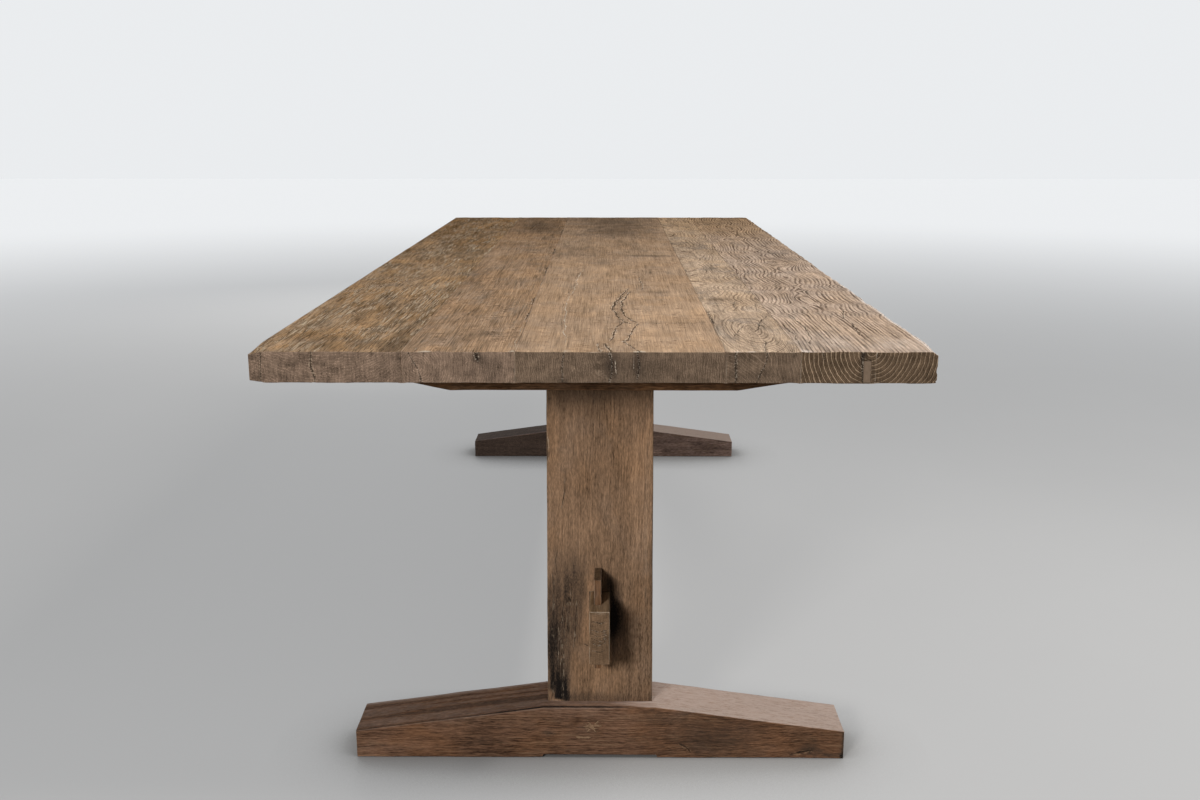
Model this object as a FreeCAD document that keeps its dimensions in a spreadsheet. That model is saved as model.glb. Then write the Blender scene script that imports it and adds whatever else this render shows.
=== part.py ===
import FreeCAD, Part
import math
import os
import re
import Sketcher

# Trestle dining table in solid oak, in millimetres.
#
# Five planks of different widths make the top. Each end of it is screwed down on a trestle, which is
# a tapered bearer, a plank-like post and a sled foot, mortised together. One stretcher joins the two
# trestles: its tenons go through the posts, and a tusk wedge through each tenon pulls the post against
# the stretcher's shoulders. The table comes apart once the wedges are knocked out.
#
# Frame: the origin is on the floor under the middle of the top, X runs across the top, Y along it and
# Z up. The pieces of a trestle are drawn in a frame of their own, with its origin on the floor under
# the trestle and -Y pointing outwards, and the rear trestle is turned half round.

V = FreeCAD.Vector

DRIVING = {
    # The top
    "surface_height": 770,
    "top_length": 2400,
    "board_thickness": 48,
    "board_1_width": 222,
    "board_2_width": 165,
    "board_3_width": 307,
    "board_4_width": 108,
    "board_5_width": 198,
    "board_gap": 0.8,
    "board_arris": 2.5,
    "waney_dip": 9,
    # Loose tongues, which keep the boards level with each other between the trestles
    "tongue_width": 30,
    "tongue_thickness": 10,
    "tongue_end_margin": 120,
    "tongue_fit": 0.25,
    "tongue_end_play": 1,
    # The slip that fills an end crack of the fifth board
    "filler_distance": 96,
    "filler_width": 10,
    "filler_height": 34,
    "filler_length": 150,
    "filler_fit": 0.1,
    # Where the trestles stand
    "end_overhang": 200,
    "trestle_offset": 9,
    # Bearers
    "bearer_length": 850,
    "bearer_thickness": 100,
    "bearer_height": 57,
    "bearer_end_height": 20,
    "bearer_flat_length": 490,
    "bearer_arris": 2,
    # Posts
    "post_bottom_width": 184,
    "post_top_width": 178,
    "post_thickness": 54,
    "post_arris": 2,
    "post_tenon_width": 140,
    "post_tenon_thickness": 30,
    "foot_tenon_length": 60,
    "bearer_tenon_length": 34,
    "mortise_fit": 0.25,
    "mortise_end_play": 1,
    # Feet
    "foot_length": 858,
    "foot_thickness": 100,
    "foot_height": 98,
    "foot_end_height": 52,
    "foot_flat_length": 196,
    "foot_arris": 3,
    "relief_length": 200,
    "relief_depth": 5,
    # Stretcher
    "stretcher_height": 140,
    "stretcher_thickness": 54,
    "stretcher_arris": 3,
    "tenon_height": 95,
    "tenon_thickness": 34.5,
    "tenon_projection": 85,
    "tenon_centre_height": 256.5,
    "tenon_arris": 2,
    # Tusk wedges
    "wedge_thickness": 12,
    "wedge_top_width": 57,
    "wedge_bottom_width": 48,
    "wedge_length": 165,
    "wedge_stand": 45,
    "wedge_offset": 3,
    "wedge_arris": 1.2,
    "wedge_side_fit": 0.35,
    "wedge_face_fit": 0.25,
    "wedge_draw": 6,
    # Hexagon-headed screws that hold the boards on the bearers. They are sunk from below, and their
    # wide holes let the boards swell and shrink.
    "screw_diameter": 6,
    "screw_length": 45,
    "screw_head_width": 13,
    "screw_head_height": 4,
    "screw_bridge": 15,
    "screw_edge_distance": 18,
    "screw_hole_diameter": 9,
    "screw_counterbore_diameter": 20,
    "thread_fit": 0.1,
    "pilot_end_play": 2,
    # Coach screws that hold the posts in the feet and under the bearers
    "coach_diameter": 10,
    "coach_length": 110,
    "coach_head_width": 17,
    "coach_head_height": 7,
    "coach_hole_diameter": 10.5,
    "coach_counterbore_diameter": 28,
    "foot_counterbore_depth": 12,
    "bearer_counterbore_depth": 8,
}

DERIVED = {
    "top_width": "board_1_width + board_2_width + board_3_width + board_4_width + board_5_width",
    "underside_height": "surface_height - board_thickness",
    "joint_0": "-top_width / 2",
    "joint_1": "joint_0 + board_1_width",
    "joint_2": "joint_1 + board_2_width",
    "joint_3": "joint_2 + board_3_width",
    "joint_4": "joint_3 + board_4_width",
    "joint_5": "top_width / 2",
    "waney_radius": "((top_length / 2) ^ 2 + waney_dip ^ 2) / (2 * waney_dip)",
    "tongue_length": "top_length - 2 * tongue_end_margin",
    "groove_depth": "(tongue_width - board_gap) / 2 + tongue_end_play",
    "trestle_distance": "top_length / 2 - end_overhang - bearer_thickness / 2",
    "bearer_bottom": "underside_height - bearer_height",
    "post_outer_face": "post_thickness / 2",
    "tenon_bottom": "tenon_centre_height - tenon_height / 2",
    "tenon_top": "tenon_centre_height + tenon_height / 2",
    "tenon_end": "post_outer_face + tenon_projection",
    "wedge_top": "tenon_top + wedge_stand",
    "wedge_bottom": "wedge_top - wedge_length",
    "wedge_inner_face": "post_outer_face + wedge_face_fit",
    "wedge_slope": "(wedge_top_width - wedge_bottom_width) / wedge_length",
    "screw_seat": "underside_height - screw_bridge",
    "screw_pilot_top": "screw_seat + screw_length + pilot_end_play",
    "foot_coach_seat": "relief_depth + foot_counterbore_depth",
    "bearer_coach_seat": "underside_height - bearer_counterbore_depth",
    "coach_reach": "coach_length + pilot_end_play",
}

BOARDS = range(1, 6)
WIDE_BOARD = 3
JOINTS = range(1, 5)
SIDES = {"front": 1, "rear": -1}
HEXAGON_SIDES = 6
OVERCUT = 1  # how far the outline of a cut runs past the face that it opens
NEAR = 0.1  # how close an edge's middle is to the place it is looked for
ALONG = 0.9  # the cosine within which an edge counts as running along an axis

doc = FreeCAD.newDocument("trestle_dining_table")
sheet = doc.addObject("Spreadsheet::Sheet", "Sizes")
nodes = []


def fill_sheet():
    """Driving dimensions as plain numbers, then the sizes that follow from them as formulas."""
    cells = [(name, str(value)) for name, value in DRIVING.items()]
    cells += [(name, "=" + formula) for name, formula in DERIVED.items()]
    for row, (name, content) in enumerate(cells, start=1):
        sheet.set(f"A{row}", name)
        sheet.set(f"B{row}", content)
        sheet.setAlias(f"B{row}", name)
    doc.recompute()


def on_sheet(formula):
    """The formula with every size in it read from the sheet."""
    known = {**DRIVING, **DERIVED}
    return re.sub(r"[a-z]\w*", lambda m: f"Sizes.{m[0]}" if m[0] in known else m[0], formula)


def size(formula):
    return float(sheet.evalExpression(on_sheet(formula)))


# ---------------------------------------------------------------------------------------------
# Sketches and features
# ---------------------------------------------------------------------------------------------


def new_body(label, x="0", y="0", z="0", turn=0):
    body = doc.addObject("PartDesign::Body", label)
    body.Placement = FreeCAD.Placement(V(), FreeCAD.Rotation(V(0, 0, 1), turn))
    for axis, formula in zip("xyz", (x, y, z)):
        body.setExpression(f"Placement.Base.{axis}", on_sheet(formula))
    nodes.append(body)
    return body


def trestle_body(side, name):
    """A body in the frame of the front or rear trestle."""
    facing = SIDES[side]
    turn = 0 if facing > 0 else 180
    return new_body(f"{side}_{name}", "trestle_offset", f"{-facing} * trestle_distance", turn=turn)


def new_sketch(body, name, plane, offset="0"):
    """An empty sketch on an origin plane of the body, moved along the plane's normal."""
    sketch = body.newObject("Sketcher::SketchObject", f"{body.Label}_{name}")
    support = next(f for f in body.Origin.OriginFeatures if f.Role == f"{plane}_Plane")
    sketch.AttachmentSupport = (support, [""])
    sketch.MapMode = "FlatFace"
    sketch.setExpression("AttachmentOffset.Base.z", on_sheet(offset))
    return sketch


def place_point(sketch, geometry, point, across, up):
    """Hold a point of the sketch at two bound distances from its origin."""
    for kind, formula in (("DistanceX", across), ("DistanceY", up)):
        constraint = Sketcher.Constraint(kind, -1, 1, geometry, point, size(formula))
        index = sketch.addConstraint(constraint)
        sketch.setExpression(f"Constraints[{index}]", on_sheet(formula))


def draw_outline(sketch, corners):
    """A closed outline of straight edges through corners given as pairs of formulas."""
    first = sketch.GeometryCount
    count = len(corners)
    points = [V(size(across), size(up)) for across, up in corners]
    for i in range(count):
        sketch.addGeometry(Part.LineSegment(points[i], points[(i + 1) % count]))
    for i in range(count):
        joined = Sketcher.Constraint("Coincident", first + i, 2, first + (i + 1) % count, 1)
        sketch.addConstraint(joined)
    for i, (across, up) in enumerate(corners):
        place_point(sketch, first + i, 1, across, up)


def draw_rectangle(sketch, left, right, bottom, top):
    draw_outline(sketch, [(left, bottom), (right, bottom), (right, top), (left, top)])


def draw_circles(sketch, centres, diameter):
    for across, up in centres:
        circle = Part.Circle(V(size(across), size(up)), V(0, 0, 1), size(diameter) / 2)
        index = sketch.addGeometry(circle)
        place_point(sketch, index, 3, across, up)
        bound = sketch.addConstraint(Sketcher.Constraint("Diameter", index, size(diameter)))
        sketch.setExpression(f"Constraints[{bound}]", on_sheet(diameter))


def pad(body, sketch, length, how="One side"):
    feature = body.newObject("PartDesign::Pad", f"{sketch.Label}_pad")
    feature.Profile = sketch
    feature.SideType = how
    feature.setExpression("Length", on_sheet(length))
    doc.recompute()
    return feature


def pocket(body, sketch, length, how="One side", along_normal=False):
    """Cut the sketch against its normal, along it, or to both sides, and see that it cuts."""
    before = body.Shape.Volume
    feature = body.newObject("PartDesign::Pocket", f"{sketch.Label}_pocket")
    feature.Profile = sketch
    feature.SideType = how
    feature.Reversed = along_normal
    feature.setExpression("Length", on_sheet(length))
    doc.recompute()
    if body.Shape.Volume >= before:
        raise ValueError(f"{feature.Label} cuts nothing")
    return feature


def ease_edges(body, width, wanted=lambda edge: True):
    """Plane a flat on each arris of the body that is wanted."""
    base = body.Tip
    names = [f"Edge{i}" for i, edge in enumerate(base.Shape.Edges, start=1) if wanted(edge)]
    feature = body.newObject("PartDesign::Chamfer", f"{base.Label}_arris")
    feature.Base = (base, names)
    feature.setExpression("Size", on_sheet(width))
    doc.recompute()
    return feature


def runs_along(edge, axis):
    start, end = (vertex.Point for vertex in edge.Vertexes)
    return abs((end - start).normalize().dot(axis)) > ALONG


# ---------------------------------------------------------------------------------------------
# The top
# ---------------------------------------------------------------------------------------------


def board_middle(number):
    return f"((joint_{number - 1} + joint_{number}) / 2)"


def screws_in_board(number):
    """Where a board's screws are across the top: in the middle of its stretch of the bearer, or
    beside both edges where the post is under that middle."""
    if number == WIDE_BOARD:
        return [f"(joint_{number - 1} + screw_edge_distance)", f"(joint_{number} - screw_edge_distance)"]
    if number == BOARDS[0]:
        return [f"((trestle_offset - bearer_length / 2 + joint_{number}) / 2)"]
    if number == BOARDS[-1]:
        return [f"((joint_{number - 1} + trestle_offset + bearer_length / 2) / 2)"]
    return [board_middle(number)]


def screw_places():
    return [place for number in BOARDS for place in screws_in_board(number)]


def draw_waney_board(sketch, left, right, end):
    """The plan of the last board, whose outer edge follows the tree and dips in the middle."""
    draw_outline(sketch, [(left, "-" + end), (right, "-" + end), (right, end), (left, end)])
    straight = sketch.GeometryCount - 3
    sketch.toggleConstruction(straight)
    middle = V(size(right) - size("waney_dip"), 0)
    edge = Part.Arc(V(size(right), -size(end)), middle, V(size(right), size(end)))
    arc = sketch.addGeometry(edge)
    # The arc runs from the rear end of the edge to the front end, about a centre outside the board.
    sketch.addConstraint(Sketcher.Constraint("Coincident", arc, 1, straight, 2))
    sketch.addConstraint(Sketcher.Constraint("Coincident", arc, 2, straight, 1))
    bound = sketch.addConstraint(Sketcher.Constraint("Radius", arc, size("waney_radius")))
    sketch.setExpression(f"Constraints[{bound}]", on_sheet("waney_radius"))


def make_board(number):
    """One plank, drawn about its own middle with its underside at zero height."""
    body = new_body(f"top_board_{number}", board_middle(number), z="underside_height")
    half = f"board_{number}_width / 2"
    is_first, is_last = number == BOARDS[0], number == BOARDS[-1]
    left = f"-{half}" if is_first else f"-{half} + board_gap / 2"
    right = half if is_last else f"{half} - board_gap / 2"
    plan = new_sketch(body, "plan", "XY")
    if is_last:
        draw_waney_board(plan, left, right, "top_length / 2")
    else:
        draw_rectangle(plan, left, right, "-top_length / 2", "top_length / 2")
    pad(body, plan, "board_thickness")
    ease_edges(body, "board_arris")

    grooves = new_sketch(body, "grooves", "XY", "board_thickness / 2")
    reach = "tongue_length / 2 + tongue_end_play"
    if not is_first:
        draw_rectangle(grooves, f"{left} - {OVERCUT}", f"{left} + groove_depth", f"-({reach})", reach)
    if not is_last:
        draw_rectangle(grooves, f"{right} - groove_depth", f"{right} + {OVERCUT}", f"-({reach})", reach)
    pocket(body, grooves, "tongue_thickness + 2 * tongue_fit", "Symmetric")

    pilots = new_sketch(body, "pilots", "XY")
    across = [f"{place} - {board_middle(number)}" for place in screws_in_board(number)]
    places = [(x, f"{facing} * trestle_distance") for x in across for facing in SIDES.values()]
    draw_circles(pilots, places, "screw_diameter + 2 * thread_fit")
    pocket(body, pilots, "screw_pilot_top - underside_height", along_normal=True)

    if is_last:
        slot = new_sketch(body, "crack", "XY")
        edge = f"filler_distance - {half}"
        draw_rectangle(
            slot,
            f"{edge} - filler_width / 2 - filler_fit",
            f"{edge} + filler_width / 2 + filler_fit",
            f"-top_length / 2 - {OVERCUT}",
            "-top_length / 2 + filler_length + filler_fit",
        )
        pocket(body, slot, "filler_height + filler_fit", along_normal=True)


def make_tongue(joint):
    body = new_body(f"loose_tongue_{joint}", f"joint_{joint}", z="underside_height + board_thickness / 2")
    plan = new_sketch(body, "plan", "XY")
    draw_rectangle(
        plan, "-tongue_width / 2", "tongue_width / 2", "-tongue_length / 2", "tongue_length / 2"
    )
    pad(body, plan, "tongue_thickness", "Symmetric")


def make_crack_filler():
    """The slip is flush with the board's end and underside, and shares the arris between them."""
    body = new_body("crack_filler", "joint_4 + filler_distance", "-top_length / 2", "underside_height")
    plan = new_sketch(body, "plan", "XY")
    draw_rectangle(plan, "-filler_width / 2", "filler_width / 2", "0", "filler_length")
    pad(body, plan, "filler_height")
    ease_edges(body, "board_arris", lambda edge: edge.CenterOfMass.Length < NEAR)


# ---------------------------------------------------------------------------------------------
# Trestles
# ---------------------------------------------------------------------------------------------


def draw_post_mortise(sketch):
    """The mouth of the mortise that takes a post's tenon."""
    half_width = "(post_tenon_width / 2 + mortise_fit)"
    half_thickness = "(post_tenon_thickness / 2 + mortise_fit)"
    draw_rectangle(sketch, f"-{half_width}", half_width, f"-{half_thickness}", half_thickness)


def make_foot(side):
    """A sled foot: a flat middle, a straight slope to each end and a relief under the middle."""
    body = trestle_body(side, "foot")
    profile = new_sketch(body, "profile", "XZ")
    half = [
        ("relief_length / 2", "relief_depth"),
        ("relief_length / 2", "0"),
        ("foot_length / 2", "0"),
        ("foot_length / 2", "foot_end_height"),
        ("foot_flat_length / 2", "foot_height"),
    ]
    draw_outline(profile, half + [("-" + across, up) for across, up in reversed(half)])
    pad(body, profile, "foot_thickness", "Symmetric")
    relief_end, relief_top = size("relief_length / 2") + NEAR, size("relief_depth") + NEAR

    def outside_relief(edge):
        return abs(edge.CenterOfMass.x) > relief_end or edge.CenterOfMass.z > relief_top

    ease_edges(body, "foot_arris", outside_relief)
    mortise = new_sketch(body, "mortise", "XY", "foot_height")
    draw_post_mortise(mortise)
    pocket(body, mortise, "foot_tenon_length + mortise_end_play")
    hole = new_sketch(body, "coach_hole", "XY")
    draw_circles(hole, [("0", "0")], "coach_hole_diameter")
    pocket(body, hole, "foot_height", along_normal=True)
    counterbore = new_sketch(body, "coach_counterbore", "XY", "foot_coach_seat")
    draw_circles(counterbore, [("0", "0")], "coach_counterbore_diameter")
    pocket(body, counterbore, "foot_coach_seat")


def make_post(side):
    """A plank that narrows a little upwards, with a tenon at each end and the stretcher's mortise."""
    body = trestle_body(side, "post")
    profile = new_sketch(body, "profile", "XZ")
    corners = [
        ("-post_bottom_width / 2", "foot_height"),
        ("post_bottom_width / 2", "foot_height"),
        ("post_top_width / 2", "bearer_bottom"),
        ("-post_top_width / 2", "bearer_bottom"),
    ]
    draw_outline(profile, corners)
    pad(body, profile, "post_thickness", "Symmetric")
    ease_edges(body, "post_arris", lambda edge: runs_along(edge, V(0, 0, 1)))
    foot_end = "foot_height - foot_tenon_length"
    bearer_end = "bearer_bottom + bearer_tenon_length"
    tenons = new_sketch(body, "tenons", "XZ")
    draw_rectangle(tenons, "-post_tenon_width / 2", "post_tenon_width / 2", foot_end, bearer_end)
    pad(body, tenons, "post_tenon_thickness", "Symmetric")
    mortise = new_sketch(body, "mortise", "XZ")
    half_width = "(tenon_thickness / 2 + mortise_fit)"
    floor, ceiling = "tenon_bottom - mortise_fit", "tenon_top + mortise_fit"
    draw_rectangle(mortise, f"-{half_width}", half_width, floor, ceiling)
    pocket(body, mortise, "post_thickness", "Symmetric")
    for name, end, depth, upwards in (
        ("foot_pilot", foot_end, f"foot_coach_seat + coach_reach - ({foot_end})", True),
        ("bearer_pilot", bearer_end, f"{bearer_end} - bearer_coach_seat + coach_reach", False),
    ):
        pilot = new_sketch(body, name, "XY", end)
        draw_circles(pilot, [("0", "0")], "coach_diameter + 2 * thread_fit")
        pocket(body, pilot, depth, along_normal=upwards)


def make_bearer(side):
    """The beam under the boards, which thins towards both ends."""
    facing = SIDES[side]
    body = trestle_body(side, "bearer")
    profile = new_sketch(body, "profile", "XZ")
    half = [
        ("bearer_flat_length / 2", "bearer_bottom"),
        ("bearer_length / 2", "underside_height - bearer_end_height"),
        ("bearer_length / 2", "underside_height"),
    ]
    draw_outline(profile, half + [("-" + across, up) for across, up in reversed(half)])
    pad(body, profile, "bearer_thickness", "Symmetric")
    ease_edges(body, "bearer_arris")
    mortise = new_sketch(body, "mortise", "XY", "bearer_bottom")
    draw_post_mortise(mortise)
    pocket(body, mortise, "bearer_tenon_length + mortise_end_play", along_normal=True)

    screws = [(f"{facing} * ({place} - trestle_offset)", "0") for place in screw_places()]
    coach = [("0", "0")]
    for name, places, diameter, seat, upwards in (
        ("screw_counterbores", screws, "screw_counterbore_diameter", "screw_seat", False),
        ("screw_holes", screws, "screw_hole_diameter", "screw_seat", True),
        ("coach_counterbore", coach, "coach_counterbore_diameter", "bearer_coach_seat", True),
        ("coach_hole", coach, "coach_hole_diameter", "bearer_coach_seat", False),
    ):
        sketch = new_sketch(body, name, "XY", seat)
        draw_circles(sketch, places, diameter)
        pocket(body, sketch, "bearer_height", along_normal=upwards)


# ---------------------------------------------------------------------------------------------
# The stretcher and its tusk wedges
# ---------------------------------------------------------------------------------------------


def make_stretcher():
    """A rail whose shoulders meet the posts and whose tenons go through them."""
    body = new_body("stretcher", "trestle_offset")
    rail = new_sketch(body, "rail", "YZ")
    shoulder = "(trestle_distance - post_outer_face)"
    middle, half = "tenon_centre_height", "stretcher_height / 2"
    draw_rectangle(rail, f"-{shoulder}", shoulder, f"{middle} - {half}", f"{middle} + {half}")
    pad(body, rail, "stretcher_thickness", "Symmetric")
    ease_edges(body, "stretcher_arris", lambda edge: runs_along(edge, V(0, 1, 0)))
    tenons = new_sketch(body, "tenons", "YZ")
    end = "(trestle_distance + tenon_end)"
    draw_rectangle(tenons, f"-{end}", end, "tenon_bottom", "tenon_top")
    pad(body, tenons, "tenon_thickness", "Symmetric")
    end_face = size(end) - NEAR
    ease_edges(body, "tenon_arris", lambda edge: abs(edge.CenterOfMass.y) > end_face)
    for side, facing in SIDES.items():
        mortise = new_sketch(body, f"{side}_wedge_mortise", "YZ", f"{-facing} * wedge_offset")
        draw_outline(mortise, wedge_mortise_corners(facing))
        pocket(body, mortise, "wedge_thickness + 2 * wedge_side_fit", "Symmetric")


def wedge_mortise_corners(facing):
    """An upright wall inside the post, so that the wedge draws the shoulders tight, and a wall that
    slopes as the wedge does."""
    floor, ceiling = f"(tenon_bottom - {OVERCUT})", f"(tenon_top + {OVERCUT})"
    inner = "post_outer_face - wedge_draw"

    def outer(height):
        width = f"wedge_top_width - wedge_slope * (wedge_top - {height})"
        return f"wedge_inner_face + {width} + wedge_face_fit"

    walls = [(inner, floor), (outer(floor), floor), (outer(ceiling), ceiling), (inner, ceiling)]
    return [(f"{-facing} * (trestle_distance + {wall})", height) for wall, height in walls]


def make_wedge(side):
    """A flat key with an upright inner face and an outer face that slopes in downwards."""
    body = trestle_body(side, "wedge")
    profile = new_sketch(body, "profile", "YZ", "-wedge_offset")
    corners = [
        ("-wedge_inner_face", "wedge_bottom"),
        ("-wedge_inner_face", "wedge_top"),
        ("-wedge_inner_face - wedge_top_width", "wedge_top"),
        ("-wedge_inner_face - wedge_bottom_width", "wedge_bottom"),
    ]
    draw_outline(profile, corners)
    pad(body, profile, "wedge_thickness", "Symmetric")
    ease_edges(body, "wedge_arris")


# ---------------------------------------------------------------------------------------------
# Fasteners: each node is a group of separate solids
# ---------------------------------------------------------------------------------------------


def hexagon_screw(kind):
    """A plain-shanked screw that points up, with the seat of its head at the origin."""
    height = size(f"{kind}_head_height")
    turn = math.radians(360 / HEXAGON_SIDES)
    corner_radius = size(f"{kind}_head_width") / 2 / math.cos(turn / 2)
    corners = []
    for i in range(HEXAGON_SIDES + 1):
        corners.append(V(corner_radius * math.cos(i * turn), corner_radius * math.sin(i * turn), -height))
    head = Part.Face(Part.makePolygon(corners)).extrude(V(0, 0, height))
    return head.fuse(Part.makeCylinder(size(f"{kind}_diameter") / 2, size(f"{kind}_length")))


def fastener_group(label, shape, seats, points_up=True):
    turn = FreeCAD.Rotation(V(1, 0, 0), 0 if points_up else 180)
    copies = [shape.transformed(FreeCAD.Placement(seat, turn).toMatrix()) for seat in seats]
    group = doc.addObject("Part::Feature", label)
    group.Shape = Part.makeCompound(copies)
    group.Placement = FreeCAD.Placement()
    nodes.append(group)


def make_fasteners(side):
    along = -SIDES[side] * size("trestle_distance")
    seats = [V(size(place), along, size("screw_seat")) for place in screw_places()]
    fastener_group(f"{side}_top_screws", hexagon_screw("screw"), seats)
    middle = size("trestle_offset")
    coach = hexagon_screw("coach")
    fastener_group(f"{side}_foot_coach_screw", coach, [V(middle, along, size("foot_coach_seat"))])
    seat = V(middle, along, size("bearer_coach_seat"))
    fastener_group(f"{side}_bearer_coach_screw", coach, [seat], points_up=False)


# ---------------------------------------------------------------------------------------------
# The whole table
# ---------------------------------------------------------------------------------------------


def check(node):
    """Stop before anything is written if an object failed or a shape is not whole."""
    for part in [node] + list(getattr(node, "Group", [])):
        if {"Invalid", "Error"} & set(part.State):
            raise ValueError(f"{part.Label} failed: {part.State}")
    if node.Shape.isNull() or not node.Shape.isValid() or not node.Shape.Solids:
        raise ValueError(f"{node.Label} is not a valid solid")


fill_sheet()
for number in BOARDS:
    make_board(number)
for joint in JOINTS:
    make_tongue(joint)
make_crack_filler()
make_stretcher()
for side in SIDES:
    make_foot(side)
    make_post(side)
    make_bearer(side)
    make_wedge(side)
    make_fasteners(side)

doc.recompute()
for node in nodes:
    check(node)
os.makedirs("parts", exist_ok=True)
for node in nodes:
    node.Shape.exportStep(f"parts/{node.Label}.step")
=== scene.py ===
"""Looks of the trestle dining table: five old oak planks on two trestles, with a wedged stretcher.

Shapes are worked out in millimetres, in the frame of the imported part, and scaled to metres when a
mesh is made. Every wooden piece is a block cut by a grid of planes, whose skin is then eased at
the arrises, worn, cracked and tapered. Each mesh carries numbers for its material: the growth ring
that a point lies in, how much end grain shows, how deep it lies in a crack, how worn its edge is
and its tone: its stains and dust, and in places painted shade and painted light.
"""

import itertools
import math
from types import SimpleNamespace

import bpy
import numpy as np
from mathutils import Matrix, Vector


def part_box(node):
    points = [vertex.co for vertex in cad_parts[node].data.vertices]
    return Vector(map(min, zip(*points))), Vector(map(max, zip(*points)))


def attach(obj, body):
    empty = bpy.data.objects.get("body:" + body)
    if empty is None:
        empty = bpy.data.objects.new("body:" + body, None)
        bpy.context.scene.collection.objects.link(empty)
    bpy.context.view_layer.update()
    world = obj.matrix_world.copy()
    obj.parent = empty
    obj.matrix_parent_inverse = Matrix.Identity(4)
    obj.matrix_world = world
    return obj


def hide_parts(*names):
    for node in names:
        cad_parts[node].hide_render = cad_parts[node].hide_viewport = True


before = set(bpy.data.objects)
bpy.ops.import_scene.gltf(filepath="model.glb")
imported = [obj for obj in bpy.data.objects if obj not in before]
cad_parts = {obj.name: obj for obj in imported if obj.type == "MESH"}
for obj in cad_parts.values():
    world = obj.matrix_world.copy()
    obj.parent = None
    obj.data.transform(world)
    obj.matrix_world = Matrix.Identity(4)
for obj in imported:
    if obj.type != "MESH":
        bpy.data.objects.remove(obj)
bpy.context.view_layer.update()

MM = 0.001
X, Y, Z = range(3)
RIDES_ON = "table"


# ---- Numbers over space ----


def cell_value(cell, seed):
    """A repeatable value from 0 to 1 for each whole-numbered cell."""
    primes = (374761393, 668265263, 1440662683)
    mixed = seed * 974634777 + sum(cell[:, i] * primes[i] for i in range(cell.shape[1]))
    mixed = mixed & 0xFFFFFFFF
    mixed = ((mixed ^ (mixed >> 13)) * 1274126177) & 0xFFFFFFFF
    mixed = mixed ^ (mixed >> 16)
    return (mixed & 0xFFFFFF) / 0xFFFFFF


def noise(place, feature, seed, octaves=2):
    """Smooth noise from about -1 to 1 in as many directions as place has. feature is its size in mm."""
    scaled = place / np.asarray(feature, dtype=float)
    total, weight, weights = 0, 1.0, 0
    for octave in range(octaves):
        base = np.floor(scaled).astype(np.int64)
        part = scaled - base
        part = part * part * (3 - 2 * part)
        value = 0
        for corner in itertools.product((0, 1), repeat=place.shape[1]):
            share = 1
            for i, far in enumerate(corner):
                share = share * (part[:, i] if far else 1 - part[:, i])
            value = value + share * cell_value(base + np.array(corner), seed + octave)
        total = total + weight * (2 * value - 1)
        weights += weight
        weight *= 0.5
        scaled = scaled * 2.03
    return total / weights


def smooth(value, low, high):
    """0 up to low, 1 from high on, and a smooth step between."""
    t = np.clip((value - low) / (high - low), 0, 1)
    return t * t * (3 - 2 * t)


def bumps(place, height, feature, seed, octaves=2):
    """Smooth unevenness from 0 to twice the height in mm."""
    return height * (1 + noise(place, feature, seed, octaves))


def within(value, span):
    """Whether a value lies inside a span."""
    return (value > span[0]) & (value < span[1])


def beside(place, path):
    """For each point of a plane: how far it lies to one side of a path of straight runs, negative on
    the other side, and how far along the path that is, from 0 to 1. path is x, y, x, y and so on."""
    path = np.reshape(path, (-1, 2)).astype(float)
    runs = path[1:] - path[:-1]
    lengths = np.linalg.norm(runs, axis=1)
    begins = np.concatenate([[0], np.cumsum(lengths)])
    side, share = np.full(len(place), np.inf), np.zeros(len(place))
    for start, run, length, begin in zip(path, runs, lengths, begins):
        along = np.clip((place - start) @ run / length**2, 0, 1)
        apart = place - start - along[:, None] * run
        there = np.copysign(np.linalg.norm(apart, axis=1), run[0] * apart[:, 1] - run[1] * apart[:, 0])
        closer = np.abs(there) < np.abs(side)
        side = np.where(closer, there, side)
        share = np.where(closer, (begin + along * length) / begins[-1], share)
    return side, share


# ---- Blocks ----

ARRIS_LINES = (0.0, 0.5, 1.2, 2.2, 3.6, 5.5)


def box_mm(node):
    low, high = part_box(node)
    return np.array(low) / MM, np.array(high) / MM


def lines(low, high, step, fine):
    """Places for cutting planes: close together at both arrises, a step apart between them, and as
    close as each (start, end, step) of fine says."""
    reach = ARRIS_LINES[-1]
    inner = [low + reach, high - reach]
    marks = sorted({inner[0], inner[1], *(np.clip(m, *inner) for f in fine for m in f[:2])})
    places = {low + a for a in ARRIS_LINES} | {high - a for a in ARRIS_LINES}
    for start, end in zip(marks[:-1], marks[1:]):
        middle = (start + end) / 2
        here = min([f[2] for f in fine if f[0] <= middle <= f[1]] + [step])
        places |= set(np.linspace(start, end, max(1, round((end - start) / here)) + 1))
    return sorted(places)


def skin(cuts, hollow=None):
    """The skin of a block cut by planes: its points and four-cornered faces. hollow(x, y, z) says which
    cells are left out, from their middles."""
    cuts = [np.array(c) for c in cuts]
    middles = np.meshgrid(*((c[1:] + c[:-1]) / 2 for c in cuts), indexing="ij")
    wood = np.ones(middles[0].shape, bool) if hollow is None else ~hollow(*middles)
    index = np.arange(np.prod([len(c) for c in cuts])).reshape([len(c) for c in cuts])
    faces = []
    for axis in range(3):
        order = [(axis + i) % 3 for i in range(3)]
        solid = np.pad(wood.transpose(order), ((1, 1), (0, 0), (0, 0)))
        grid = index.transpose(order)
        for there, outward in ((solid[:-1] & ~solid[1:], 1), (~solid[:-1] & solid[1:], -1)):
            k, i, j = np.nonzero(there)
            corners = [grid[k, i, j], grid[k, i + 1, j], grid[k, i + 1, j + 1], grid[k, i, j + 1]]
            faces.append(np.stack(corners[::outward], axis=1))
    used, faces = np.unique(np.concatenate(faces), return_inverse=True)
    steps = np.unravel_index(used, index.shape)
    points = np.stack([cuts[axis][steps[axis]] for axis in range(3)], axis=1)
    return points, faces.reshape(-1, 4)


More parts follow.
